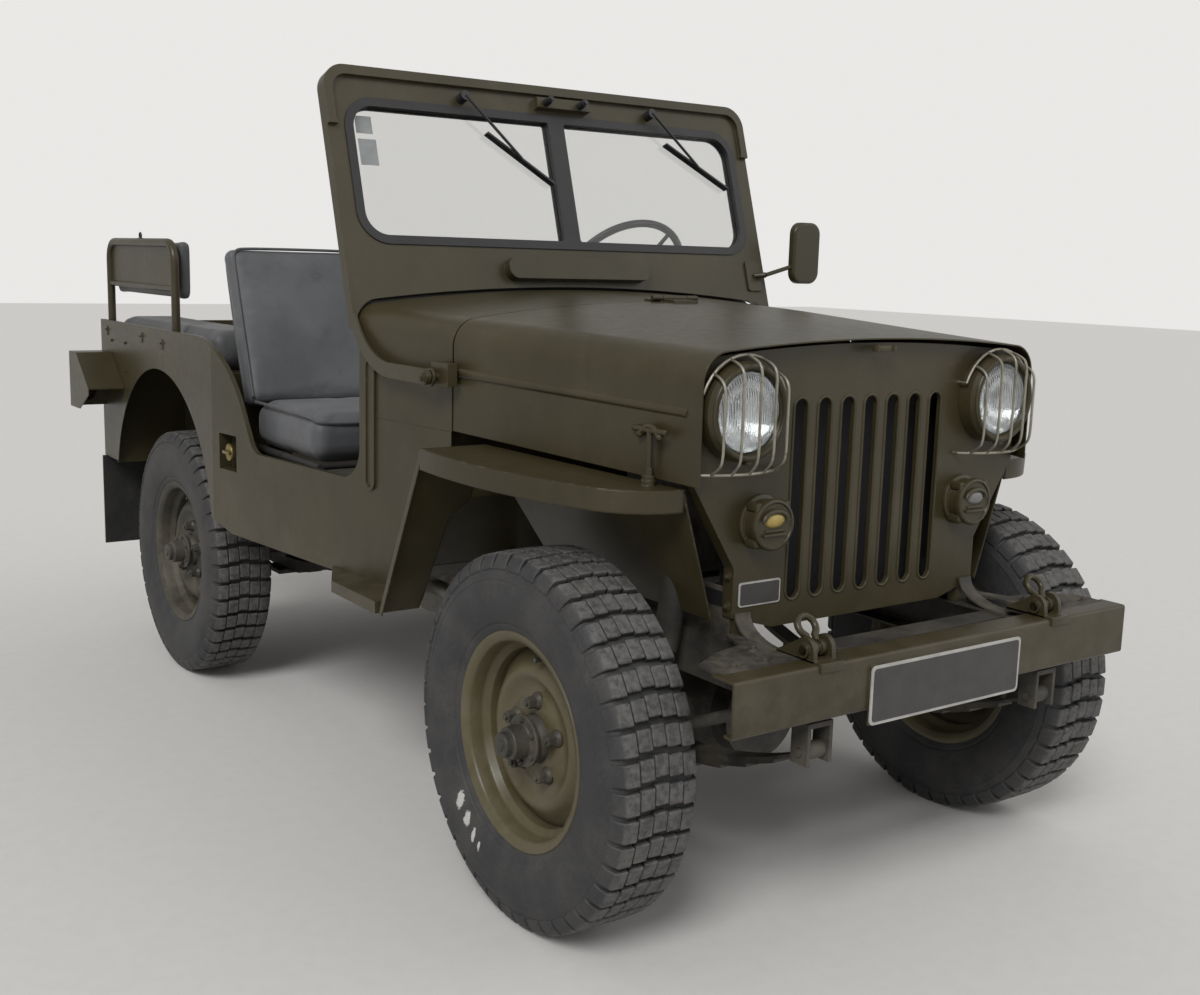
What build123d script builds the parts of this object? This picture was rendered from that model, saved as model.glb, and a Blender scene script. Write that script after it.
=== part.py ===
from build123d import *
from math import atan2, cos, degrees, radians, sin, sqrt, tan
import os

os.makedirs("parts", exist_ok=True)

# Open army 4x4 car with flat wings, a folding windscreen, two front seats and
# two side benches. Millimetres, +Z up, the front faces -Y, +X is the car's left.
# The origin is on the ground in the middle of the overall length and width.

# Running gear
WHEELBASE = 2032.0
MID_WHEELBASE_Y = -128.0
HALF_TRACK = 614.0
TYRE_R = 380.0
TYRE_HALF_WIDTH = 98.5
TREAD_HALF_WIDTH = 76.0
TREAD_DEPTH = 13.0
RIM_FLANGE_R = 222.0
RIM_SEAT_R = 206.0
RIM_HALF_WIDTH = 75.0
KINGPIN_OFFSET = 104.0
STEER_ARM = -150.0
AXLE_TUBE_R = 35.0
DIFF_OFFSET_X = -150.0

# Stations along the car
FRONT_AXLE_Y = MID_WHEELBASE_Y - WHEELBASE / 2
REAR_AXLE_Y = MID_WHEELBASE_Y + WHEELBASE / 2
BUMPER_FRONT_Y = FRONT_AXLE_Y - 496.0
GRILLE_Y = FRONT_AXLE_Y - 241.0
HOOD_FRONT_Y = GRILLE_Y - 29.0
HOOD_REAR_Y = FRONT_AXLE_Y + 416.0
COWL_REAR_Y = FRONT_AXLE_Y + 781.0
DOOR_FRONT_Y = FRONT_AXLE_Y + 799.0
DOOR_REAR_Y = REAR_AXLE_Y - 696.0
SIDE_BEND_Y = REAR_AXLE_Y - 456.0
TUB_REAR_Y = REAR_AXLE_Y + 624.0
TAIL_Y = TUB_REAR_Y + 128.0

# Heights
RAIL_BOTTOM_Z = 500.0
RAIL_TOP_Z = 597.0
SILL_Z = 540.0
REAR_SILL_Z = 610.0
SEAM_Z = 945.0
DOOR_SILL_Z = 784.0
TUB_TOP_Z = 1080.0
REAR_FLOOR_RISE = 60.0
WHEELHOUSE_TOP_Z = 978.0

# Widths, as halves
TUB_HALF = 733.0
COWL_REAR_HALF = 645.0
HOOD_FRONT_HALF = 470.0
WHEELHOUSE_INNER_X = 490.0
RAIL_OUTER_X = 350.0
RAIL_WIDTH = 45.0
SPRING_X = 328.0

# Body details that several panels share
DOOR_FRONT_TOP_Z = 1140.0
TUNNEL_HALF = 150.0
TUNNEL_TOP_Z = 740.0
FAR = 3000.0

# Sheet metal and gaps
SHEET = 3.0
SEAT_GAP = 0.3
EDGE_DEPTH = 14.0
EDGE_WIDTH = 11.0

SIDE_TAPER = atan2(TUB_HALF - COWL_REAR_HALF, SIDE_BEND_Y - COWL_REAR_Y)


def side_x(y):
    """Half width of the tub side's outer face at a station."""
    return TUB_HALF - max(0.0, SIDE_BEND_Y - y) * tan(SIDE_TAPER)


HOOD_REAR_HALF = side_x(HOOD_REAR_Y)


def save(builder, label):
    """Label one finished piece and write its file."""
    builder.part.label = label
    export_step(builder.part, f"parts/{label}.step")


def block(x, y, z, mode=Mode.ADD):
    """A box between pairs of low and high values."""
    middle = ((x[0] + x[1]) / 2, (y[0] + y[1]) / 2, (z[0] + z[1]) / 2)
    with Locations(middle):
        Box(abs(x[1] - x[0]), abs(y[1] - y[0]), abs(z[1] - z[0]), mode=mode)


def rod(start, end, radius, mode=Mode.ADD):
    """A round bar between two points."""
    start, end = Vector(*start), Vector(*end)
    with BuildSketch(Plane(origin=start, z_dir=end - start)) as section:
        Circle(radius)
    extrude(section.sketch, amount=(end - start).length, mode=mode)


def wire(path, radius):
    """A bent round bar along a line."""
    with BuildSketch(Plane(origin=path @ 0, z_dir=path % 0)) as section:
        Circle(radius)
    sweep(section.sketch, path=path, transition=Transition.ROUND)


def along_side(x, thickness, points, mode=Mode.ADD):
    """A plate parallel to the car's middle plane, from y and z points."""
    with BuildSketch(Plane.YZ.offset(x)) as section:
        with BuildLine():
            Polyline(*points, close=True)
        make_face()
    extrude(section.sketch, amount=thickness, mode=mode)


def across(y, thickness, points, mode=Mode.ADD):
    """A plate across the car, from x and z points, extruded forwards."""
    with BuildSketch(Plane.XZ.offset(-y)) as section:
        with BuildLine():
            Polyline(*points, close=True)
        make_face()
    extrude(section.sketch, amount=thickness, mode=mode)


# Wheels and tyres, drawn once with the outboard side at +X and then placed
RIM_OUTLINE = (
    # across the wheel, radius
    (-RIM_HALF_WIDTH, RIM_FLANGE_R), (-70, RIM_FLANGE_R), (-62, RIM_SEAT_R), (-30, 203),
    (-22, 188), (22, 188), (30, 203), (62, RIM_SEAT_R), (70, RIM_FLANGE_R),
    (RIM_HALF_WIDTH, RIM_FLANGE_R), (RIM_HALF_WIDTH, 216), (66, 200), (34, 197), (26, 182),
    (-26, 182), (-34, 197), (-66, 200), (-RIM_HALF_WIDTH, 216),
)
DISC_OUTLINE = ((2, 184), (10, 184), (24, 150), (32, 118), (32, 40), (26, 40), (26, 114), (17, 145))
WHEEL_STUDS = 5
STUD_CIRCLE_R = 70.0
HUB_BORE_R = 25.5
SPINDLE_R = 25.0
DRUM_R = 140.0
DRUM_INNER_X = -32.0

with BuildPart() as rim:
    with BuildSketch():
        with BuildLine():
            Polyline(*RIM_OUTLINE, close=True)
        make_face()
    revolve(axis=Axis.X)
    with BuildSketch():
        with BuildLine():
            Polyline(*DISC_OUTLINE, close=True)
        make_face()
    revolve(axis=Axis.X)
    with BuildSketch():
        with BuildLine():
            Polyline((DRUM_INNER_X, DRUM_R), (26, DRUM_R - 8), (26, 40), (60, 40), (60, 34),
                     (66, 30), (66, 0), (50, 0), (50, HUB_BORE_R), (DRUM_INNER_X, HUB_BORE_R),
                     close=True)
        make_face()
    revolve(axis=Axis.X)
    with BuildSketch(Plane.YZ.offset(31)):
        with PolarLocations(STUD_CIRCLE_R, WHEEL_STUDS):
            RegularPolygon(12, 6)
    extrude(amount=13)

with BuildPart() as tyre:
    with BuildSketch():
        with BuildLine():
            Polyline((-68, RIM_FLANGE_R + 2), (-62 + SEAT_GAP, RIM_SEAT_R + 4),
                     (-60, RIM_SEAT_R + SEAT_GAP), (60, RIM_SEAT_R + SEAT_GAP),
                     (62 - SEAT_GAP, RIM_SEAT_R + 4), (68, RIM_FLANGE_R + 2))
            ThreePointArc((68, RIM_FLANGE_R + 2), (TYRE_HALF_WIDTH, 300), (88, TYRE_R - 26))
            Polyline((88, TYRE_R - 26), (TREAD_HALF_WIDTH, TYRE_R), (-TREAD_HALF_WIDTH, TYRE_R),
                     (-88, TYRE_R - 26))
            ThreePointArc((-88, TYRE_R - 26), (-TYRE_HALF_WIDTH, 300), (-68, RIM_FLANGE_R + 2))
        make_face()
    revolve(axis=Axis.X)

WHEEL_PLACES = (
    # name, side, axle station
    ("front_right", -1, FRONT_AXLE_Y),
    ("front_left", 1, FRONT_AXLE_Y),
    ("rear_right", -1, REAR_AXLE_Y),
    ("rear_left", 1, REAR_AXLE_Y),
)
for place, side, axle_y in WHEEL_PLACES:
    spot = Location((side * HALF_TRACK, axle_y, TYRE_R), (0, 0, 0 if side > 0 else 180))
    with BuildPart() as placed_wheel:
        add(rim.part.moved(spot))
    save(placed_wheel, f"wheel_{place}")
    with BuildPart() as placed_tyre:
        add(tyre.part.moved(spot))
    save(placed_tyre, f"tyre_{place}")

# Front axle, with the pivot balls cut flat where the kingpins seat
KINGPIN_X = HALF_TRACK - KINGPIN_OFFSET
BALL_R = 48.0
BALL_FLAT = 38.0
KNUCKLE_IN_R = 54.0
KNUCKLE_OUT_R = 66.0
KNUCKLE_HALF_H = 60.0
DIFF_R = 120.0


def differential(axle_y, nose):
    """The round gear housing with its cover, and its nose towards the gearbox."""
    with Locations((DIFF_OFFSET_X, axle_y, TYRE_R)):
        Sphere(DIFF_R)
    rod((DIFF_OFFSET_X, axle_y, TYRE_R), (DIFF_OFFSET_X, axle_y + nose * 190, TYRE_R + 8), 48)
    rod((DIFF_OFFSET_X, axle_y, TYRE_R), (DIFF_OFFSET_X, axle_y - nose * 122, TYRE_R), 98)


with BuildPart() as front_axle:
    rod((-KINGPIN_X, FRONT_AXLE_Y, TYRE_R), (KINGPIN_X, FRONT_AXLE_Y, TYRE_R), AXLE_TUBE_R)
    with Locations((-KINGPIN_X, FRONT_AXLE_Y, TYRE_R), (KINGPIN_X, FRONT_AXLE_Y, TYRE_R)):
        Sphere(BALL_R)
    for side in (-1, 1):
        for up in (-1, 1):
            flat = TYRE_R + up * BALL_FLAT
            block((side * KINGPIN_X - BALL_R, side * KINGPIN_X + BALL_R),
                  (FRONT_AXLE_Y - BALL_R, FRONT_AXLE_Y + BALL_R),
                  (flat, flat + up * BALL_R), mode=Mode.SUBTRACT)
    differential(FRONT_AXLE_Y, 1)
save(front_axle, "front_axle")

# Knuckles: an open housing round the ball, spindle, brake plate and steering arm
ARM_Z = TYRE_R + 44.0
ARM_THICK = 14.0
BRAKE_PLATE_R = 150.0
for place, side, axle_y in WHEEL_PLACES[:2]:
    pin_x = side * KINGPIN_X
    with BuildPart() as knuckle:
        with Locations((pin_x, axle_y, TYRE_R)):
            Cylinder(KNUCKLE_OUT_R, 2 * KNUCKLE_HALF_H)
            Cylinder(KNUCKLE_IN_R, 2 * (KNUCKLE_HALF_H - 10), mode=Mode.SUBTRACT)
        block((pin_x - side * 16, pin_x - side * 2 * KNUCKLE_OUT_R),
              (axle_y - KNUCKLE_OUT_R, axle_y + KNUCKLE_OUT_R),
              (TYRE_R - KNUCKLE_HALF_H + 10, TYRE_R + KNUCKLE_HALF_H - 10), mode=Mode.SUBTRACT)
        for up in (-1, 1):
            rod((pin_x, axle_y, TYRE_R + up * (BALL_FLAT + SEAT_GAP)),
                (pin_x, axle_y, TYRE_R + up * (KNUCKLE_HALF_H + 12)), 20)
        spindle_end = side * (HALF_TRACK + 49)
        rod((pin_x + side * 58, axle_y, TYRE_R), (spindle_end, axle_y, TYRE_R), SPINDLE_R)
        plate_x = side * (HALF_TRACK + DRUM_INNER_X - 6)
        rod((plate_x, axle_y, TYRE_R), (plate_x - side * 6, axle_y, TYRE_R), BRAKE_PLATE_R)
        block((pin_x - 18, pin_x + 18), (axle_y - KNUCKLE_OUT_R + 14, axle_y + STEER_ARM - 18),
              (ARM_Z, ARM_Z + ARM_THICK))
    save(knuckle, f"knuckle_{place}")

with BuildPart() as tie_rod:
    rod((-KINGPIN_X, FRONT_AXLE_Y + STEER_ARM, ARM_Z - 18),
        (KINGPIN_X, FRONT_AXLE_Y + STEER_ARM, ARM_Z - 18), 13)
    for side in (-1, 1):
        rod((side * KINGPIN_X, FRONT_AXLE_Y + STEER_ARM, ARM_Z - 36),
            (side * KINGPIN_X, FRONT_AXLE_Y + STEER_ARM, ARM_Z - SEAT_GAP), 19)
save(tie_rod, "tie_rod")

with BuildPart() as rear_axle:
    spindle_end = HALF_TRACK + 49
    rod((-HALF_TRACK + 76, REAR_AXLE_Y, TYRE_R), (HALF_TRACK - 76, REAR_AXLE_Y, TYRE_R),
        AXLE_TUBE_R)
    rod((-spindle_end, REAR_AXLE_Y, TYRE_R), (spindle_end, REAR_AXLE_Y, TYRE_R), SPINDLE_R)
    plate_x = HALF_TRACK + DRUM_INNER_X - 6
    for side in (-1, 1):
        rod((side * plate_x, REAR_AXLE_Y, TYRE_R), (side * (plate_x - 6), REAR_AXLE_Y, TYRE_R),
            BRAKE_PLATE_R)
    differential(REAR_AXLE_Y, -1)
save(rear_axle, "rear_axle")

# Leaf springs under the axle tubes, one pack a side, hung from the rails
LEAF_WIDTH = 45.0
LEAF_THICK = 7.0
EYE_Z = 440.0
EYE_R = 17.0
SPRING_LOW_Z = TYRE_R - AXLE_TUBE_R - 8.0
SPRINGS = (
    # axle station, half length, leaves
    (FRONT_AXLE_Y, 455.0, 5),
    (REAR_AXLE_Y, 540.0, 6),
)

with BuildPart() as leaf_springs:
    for axle_y, half, leaves in SPRINGS:
        curve_r = (half ** 2 + (EYE_Z - SPRING_LOW_Z) ** 2) / (2 * (EYE_Z - SPRING_LOW_Z))
        for index in range(leaves):
            reach = half * (1 - index / (leaves + 1.0))
            low = SPRING_LOW_Z - index * LEAF_THICK
            rise = curve_r - sqrt(curve_r ** 2 - reach ** 2)
            with BuildSketch(Plane.YZ.offset(SPRING_X - LEAF_WIDTH / 2)):
                with BuildLine():
                    top = ThreePointArc((axle_y - reach, low + rise), (axle_y, low),
                                        (axle_y + reach, low + rise))
                    Line(top @ 1, (axle_y + reach, low + rise - LEAF_THICK))
                    under = ThreePointArc((axle_y + reach, low + rise - LEAF_THICK),
                                          (axle_y, low - LEAF_THICK),
                                          (axle_y - reach, low + rise - LEAF_THICK))
                    Line(under @ 1, top @ 0)
                make_face()
            extrude(amount=LEAF_WIDTH)
        for end in (-1, 1):
            eye_y = axle_y + end * half
            rod((SPRING_X - LEAF_WIDTH / 2, eye_y, EYE_Z), (SPRING_X + LEAF_WIDTH / 2, eye_y, EYE_Z),
                EYE_R)
            rod((SPRING_X - LEAF_WIDTH / 2 - 12, eye_y, EYE_Z),
                (SPRING_X + LEAF_WIDTH / 2 + 12, eye_y, EYE_Z), 8)
        seat_low = SPRING_LOW_Z - leaves * LEAF_THICK - 12
        block((SPRING_X - 50, SPRING_X + 50), (axle_y - 60, axle_y + 60),
              (seat_low, seat_low + 13))
        block((SPRING_X - LEAF_WIDTH / 2, SPRING_X + LEAF_WIDTH / 2), (axle_y - 45, axle_y + 45),
              (SPRING_LOW_Z - 2, TYRE_R - AXLE_TUBE_R + 2))
        rod((SPRING_X - 60, axle_y, TYRE_R), (SPRING_X + 60, axle_y, TYRE_R), AXLE_TUBE_R,
            mode=Mode.SUBTRACT)
    mirror(about=Plane.YZ)
save(leaf_springs, "leaf_springs")

# Frame: two channel rails open inwards, cross members, hangers and shackles
RAIL_FRONT_Y = BUMPER_FRONT_Y + 62.0
RAIL_REAR_Y = TUB_REAR_Y - 10.0
RAIL_WALL = 5.0
HANGER_THICK = 8.0
CROSS_STATIONS = (
    # station, length along the car
    (FRONT_AXLE_Y - 340.0, 60.0),
    (FRONT_AXLE_Y + 1190.0, 70.0),
    (REAR_AXLE_Y + 300.0, 60.0),
    (RAIL_REAR_Y - 45.0, 90.0),
)

with BuildPart() as chassis_frame:
    block((RAIL_OUTER_X - RAIL_WIDTH, RAIL_OUTER_X), (RAIL_FRONT_Y, RAIL_REAR_Y),
          (RAIL_BOTTOM_Z, RAIL_TOP_Z))
    block((RAIL_OUTER_X - RAIL_WIDTH, RAIL_OUTER_X - RAIL_WALL), (RAIL_FRONT_Y, RAIL_REAR_Y),
          (RAIL_BOTTOM_Z + RAIL_WALL, RAIL_TOP_Z - RAIL_WALL), mode=Mode.SUBTRACT)
    for axle_y, half, leaves in SPRINGS:
        for end in (-1, 1):
            eye_y = axle_y + end * half
            for cheek in (-1, 1):
                face = SPRING_X + cheek * (LEAF_WIDTH / 2 + 1)
                block((face, face + cheek * HANGER_THICK), (eye_y - 22, eye_y + 22),
                      (EYE_Z - 22, RAIL_BOTTOM_Z - 1))
                rod((face - cheek * 0.5, eye_y, EYE_Z), (face + cheek * 12, eye_y, EYE_Z), 8.3,
                    mode=Mode.SUBTRACT)
            block((SPRING_X - LEAF_WIDTH / 2 - 9, SPRING_X + LEAF_WIDTH / 2 + 9),
                  (eye_y - 22, eye_y + 22), (RAIL_BOTTOM_Z - 10, RAIL_BOTTOM_Z))
    mirror(about=Plane.YZ)
    for station, length in CROSS_STATIONS:
        block((-RAIL_OUTER_X + RAIL_WALL, RAIL_OUTER_X - RAIL_WALL),
              (station - length / 2, station + length / 2),
              (RAIL_BOTTOM_Z + RAIL_WALL, RAIL_TOP_Z - RAIL_WALL))
        block((-RAIL_OUTER_X + RAIL_WIDTH, RAIL_OUTER_X - RAIL_WIDTH),
              (station - length / 2 + RAIL_WALL, station + length / 2 - RAIL_WALL),
              (RAIL_BOTTOM_Z, RAIL_TOP_Z - 2 * RAIL_WALL), mode=Mode.SUBTRACT)
save(chassis_frame, "chassis_frame")

# Front bumper: a channel open to the rear, with its gussets and shackle ears
BUMPER_HALF = 559.0
BUMPER_LOW_Z = 510.0
BUMPER_HIGH_Z = 616.0
BUMPER_WALL = 6.0
EAR_X = 330.0
EAR_GAP = 58.0
EAR_THICK = 12.0
EAR_PIN_Z = BUMPER_HIGH_Z + 48.0
EAR_Y = BUMPER_FRONT_Y + 42.0
BOW_WIRE_R = 10.0
BOW_LEG_X = 18.0
BOW_LEG = 72.0
BOW_LEAN = Vector(0, 0.22, 0.9755)
GUSSET_OUTLINE = ((306, -14), (545, -14), (545, 0), (402, 116), (378, 186), (356, 186), (356, 60), (306, 60))
PLATE_X = (-229.0, 199.0)
PLATE_Z = (482.0, 597.0)
PLATE_HOLE_SPACING = 360.0
PLATE_HOLE_R = 3.5

with BuildPart() as front_bumper:
    block((-BUMPER_HALF, BUMPER_HALF), (BUMPER_FRONT_Y, RAIL_FRONT_Y - SEAT_GAP),
          (BUMPER_LOW_Z, BUMPER_HIGH_Z))
    block((-BUMPER_HALF, BUMPER_HALF), (BUMPER_FRONT_Y + BUMPER_WALL, RAIL_FRONT_Y + 1),
          (BUMPER_LOW_Z + BUMPER_WALL, BUMPER_HIGH_Z - BUMPER_WALL), mode=Mode.SUBTRACT)
    for side in (-1, 1):
        for cheek in (-1, 1):
            ear_x = side * EAR_X + cheek * (EAR_GAP + EAR_THICK) / 2
            with BuildSketch(Plane.YZ.offset(ear_x - EAR_THICK / 2)):
                with BuildLine():
                    Polyline((EAR_Y - 36, BUMPER_HIGH_Z - 1), (EAR_Y - 30, EAR_PIN_Z))
                    ThreePointArc((EAR_Y - 30, EAR_PIN_Z), (EAR_Y, EAR_PIN_Z + 30),
                                  (EAR_Y + 30, EAR_PIN_Z))
                    Polyline((EAR_Y + 30, EAR_PIN_Z), (EAR_Y + 44, BUMPER_HIGH_Z - 1),
                             (EAR_Y - 36, BUMPER_HIGH_Z - 1))
                make_face()
                with Locations((EAR_Y, EAR_PIN_Z)):
                    Circle(13, mode=Mode.SUBTRACT)
            extrude(amount=EAR_THICK)
        gusset = [(side * x, RAIL_FRONT_Y + y) for x, y in GUSSET_OUTLINE]
        with BuildSketch(Plane.XY.offset(BUMPER_HIGH_Z - 1)):
            with BuildLine():
                Polyline(*gusset, close=True)
            make_face()
        extrude(amount=5)
    block((PLATE_X[0], PLATE_X[1]), (BUMPER_FRONT_Y - 5, BUMPER_FRONT_Y + 1), PLATE_Z)
    plate_middle_x, plate_middle_z = sum(PLATE_X) / 2, sum(PLATE_Z) / 2
    for side in (-1, 1):
        hole_x = plate_middle_x + side * PLATE_HOLE_SPACING / 2
        rod((hole_x, BUMPER_FRONT_Y - 6, plate_middle_z), (hole_x, BUMPER_FRONT_Y + 10, plate_middle_z),
            PLATE_HOLE_R, mode=Mode.SUBTRACT)
    for side in (-1, 1):
        pin_x = side * EAR_X
        rod((pin_x - EAR_GAP / 2 - EAR_THICK - 12, EAR_Y, EAR_PIN_Z),
            (pin_x + EAR_GAP / 2 + EAR_THICK + 12, EAR_Y, EAR_PIN_Z), 13.5)
        leg = Vector(BOW_LEG_X, 0, 0)
        foot = Vector(pin_x, EAR_Y, EAR_PIN_Z)
        head = foot + BOW_LEAN * BOW_LEG
        with BuildLine() as bow:
            Line(foot - leg, head - leg)
            ThreePointArc(head - leg, head + BOW_LEAN * BOW_LEG_X, head + leg)
            Line(head + leg, foot + leg)
        wire(bow.line, BOW_WIRE_R)
save(front_bumper, "front_bumper")

# Engine and gearbox as plain blocks at their real places
with BuildPart() as engine_block:
    block((-140, 160), (FRONT_AXLE_Y - 60, FRONT_AXLE_Y + 400), (640, 1010))
    block((-110, 130), (FRONT_AXLE_Y - 20, FRONT_AXLE_Y + 330), (560, 641))
    for low_x, high_x in ((-340, -139), (159, 340)):
        block((low_x, high_x), (FRONT_AXLE_Y + 5, FRONT_AXLE_Y + 50),
              (RAIL_TOP_Z + SEAT_GAP, 660))
save(engine_block, "engine_block")

SHAFTS = (
    # station and height at the axle, station and height at the gearbox
    (FRONT_AXLE_Y + 190, TYRE_R + 8, FRONT_AXLE_Y + 702, 480),
    (REAR_AXLE_Y - 190, TYRE_R + 8, FRONT_AXLE_Y + 1068, 480),
)
with BuildPart() as gearbox_and_shafts:
    block((-100, 110), (FRONT_AXLE_Y + 400 + SEAT_GAP, FRONT_AXLE_Y + 820), (500, 700))
    block((-230, 90), (FRONT_AXLE_Y + 760, FRONT_AXLE_Y + 1010), (430, 590))
    rod((DIFF_OFFSET_X, FRONT_AXLE_Y + 700, 480), (DIFF_OFFSET_X, FRONT_AXLE_Y + 1070, 480), 42)
    for near_y, near_z, far_y, far_z in SHAFTS:
        way = 1 if far_y > near_y else -1
        rod((DIFF_OFFSET_X, near_y + way * 3, near_z), (DIFF_OFFSET_X, near_y + way * 14, near_z), 44)
        rod((DIFF_OFFSET_X, near_y + way * 8, near_z), (DIFF_OFFSET_X, far_y, far_z), 27)
save(gearbox_and_shafts, "gearbox_and_shafts")

# Exhaust and fuel tank
with BuildPart() as exhaust:
    pipe_x, pipe_z = -255.0, 470.0
    rod((-164, FRONT_AXLE_Y + 370, 670), (pipe_x, FRONT_AXLE_Y + 480, pipe_z), 22)
    rod((pipe_x, FRONT_AXLE_Y + 480, pipe_z), (pipe_x, FRONT_AXLE_Y + 730, 405), 22)
    rod((pipe_x, FRONT_AXLE_Y + 730, 405), (pipe_x, FRONT_AXLE_Y + 1120, 405), 22)
    with Locations((pipe_x, FRONT_AXLE_Y + 480, pipe_z), (pipe_x, FRONT_AXLE_Y + 730, 405)):
        Sphere(22)
    rod((pipe_x, FRONT_AXLE_Y + 1120, 405), (pipe_x, FRONT_AXLE_Y + 1440, 405), 70)
    block((pipe_x - 12, pipe_x + 12), (FRONT_AXLE_Y + 1180, FRONT_AXLE_Y + 1186),
          (440, RAIL_BOTTOM_Z + RAIL_WALL - SEAT_GAP))
save(exhaust, "exhaust")

with BuildPart() as fuel_tank:
    block((230, 600), (SIDE_BEND_Y - 460, SIDE_BEND_Y - 86), (RAIL_TOP_Z + SHEET + 2 * SEAT_GAP, 760))
    fillet(fuel_tank.edges().filter_by(Axis.Z), 30)
save(fuel_tank, "fuel_tank")

# Hood and cowl share one roof outline, which widens towards the windscreen
HOOD_FOOT_FRONT_Z = 914.0
HOOD_FOOT_REAR_Z = 948.0
HOOD_SHOULDER_FRONT_Z = 1162.0
HOOD_SHOULDER_REAR_Z = 1186.0
HOOD_CROWN_FRONT_Z = 1187.0
HOOD_CROWN_REAR_Z = 1232.0
HOOD_CORNER_R = 62.0
COWL_SHOULDER_REAR_Z = 1206.0
COWL_CROWN_REAR_Z = 1246.0
HOOD_COWL_GAP = 6.0


def roof_outline(y, half, foot_z, shoulder_z, crown_z, inset):
    """One closed section across the car: sides, rounded shoulders and crown."""
    half, shoulder_z, crown_z = half - inset, shoulder_z - inset, crown_z - inset
    with BuildSketch(Plane.XZ.offset(-y)) as section:
        with BuildLine():
            Polyline((-half, shoulder_z), (-half, foot_z), (half, foot_z), (half, shoulder_z))
            ThreePointArc((half, shoulder_z), (0, crown_z), (-half, shoulder_z))
        make_face()
        fillet(section.vertices().sort_by(Axis.Y)[-2:], HOOD_CORNER_R - inset)
    return section.sketch


HINGE_LINE_Z = HOOD_CROWN_REAR_Z + 8.0
HINGE_LINE_Y = HOOD_REAR_Y + HOOD_COWL_GAP / 2
HINGE_BARREL_R = 6.0
HINGE_REACH = 36.0
HOOD_BEAD_R = 10.0
with BuildPart() as hood:
    front = roof_outline(HOOD_FRONT_Y, HOOD_FRONT_HALF, HOOD_FOOT_FRONT_Z,
                         HOOD_SHOULDER_FRONT_Z, HOOD_CROWN_FRONT_Z, 0)
    rear = roof_outline(HOOD_REAR_Y, HOOD_REAR_HALF, HOOD_FOOT_REAR_Z,
                        HOOD_SHOULDER_REAR_Z, HOOD_CROWN_REAR_Z, 0)
    loft([front, rear], ruled=True)
    for side in (-1, 1):
        rod((side * (HOOD_REAR_HALF - 6), HOOD_REAR_Y - 18, 1076),
            (side * (HOOD_FRONT_HALF + 1), HOOD_FRONT_Y + 36, 1050), HOOD_BEAD_R)
    front = roof_outline(HOOD_FRONT_Y, HOOD_FRONT_HALF, HOOD_FOOT_FRONT_Z - 20,
                         HOOD_SHOULDER_FRONT_Z, HOOD_CROWN_FRONT_Z, SHEET)
    rear = roof_outline(HOOD_REAR_Y, HOOD_REAR_HALF, HOOD_FOOT_REAR_Z - 20,
                        HOOD_SHOULDER_REAR_Z, HOOD_CROWN_REAR_Z, SHEET)
    loft([front, rear], ruled=True, mode=Mode.SUBTRACT)
    rod((-HINGE_REACH, HINGE_LINE_Y, HINGE_LINE_Z), (HINGE_REACH, HINGE_LINE_Y, HINGE_LINE_Z),
        HINGE_BARREL_R)
    block((-HINGE_REACH, HINGE_REACH), (HINGE_LINE_Y - 46, HINGE_LINE_Y),
          (HINGE_LINE_Z - 12, HINGE_LINE_Z - 3))
save(hood, "hood")

# Cowl: the fixed roof piece between hood and windscreen, with the firewall
COWL_FRONT_Y = HOOD_REAR_Y + HOOD_COWL_GAP
FIREWALL_Y = COWL_FRONT_Y + 30.0
TOE_Z = 790.0
TOE_Y = FIREWALL_Y + 170.0
FLOOR_TOP_Z = RAIL_TOP_Z + SEAT_GAP + SHEET

# The windscreen frame leans back behind the cowl's rear edge
SCREEN_LEAN = radians(17.5)
SCREEN_FOOT_Y = COWL_REAR_Y + 13.0
SCREEN_FOOT_Z = 1150.0
SCREEN_DEPTH = 30.0
COWL_END_Y = COWL_REAR_Y + 62.0
PIVOT_Y = FRONT_AXLE_Y + 426.0
PIVOT_Z = 1066.0
PIVOT_R = 8.0


def screen_y(z, back):
    """Station of the windscreen frame at a height, a depth behind its front face."""
    return SCREEN_FOOT_Y + (z - SCREEN_FOOT_Z) * tan(SCREEN_LEAN) + back / cos(SCREEN_LEAN)


def cowl_outline(y, foot_z, inset):
    """The cowl's section at a station, between the hood and the windscreen."""
    share = (y - COWL_FRONT_Y) / (COWL_END_Y - COWL_FRONT_Y)
    shoulder_z = HOOD_SHOULDER_REAR_Z + share * (COWL_SHOULDER_REAR_Z - HOOD_SHOULDER_REAR_Z)
    crown_z = HOOD_CROWN_REAR_Z + share * (COWL_CROWN_REAR_Z - HOOD_CROWN_REAR_Z)
    return roof_outline(y, side_x(y), foot_z, shoulder_z, crown_z, inset)


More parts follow.
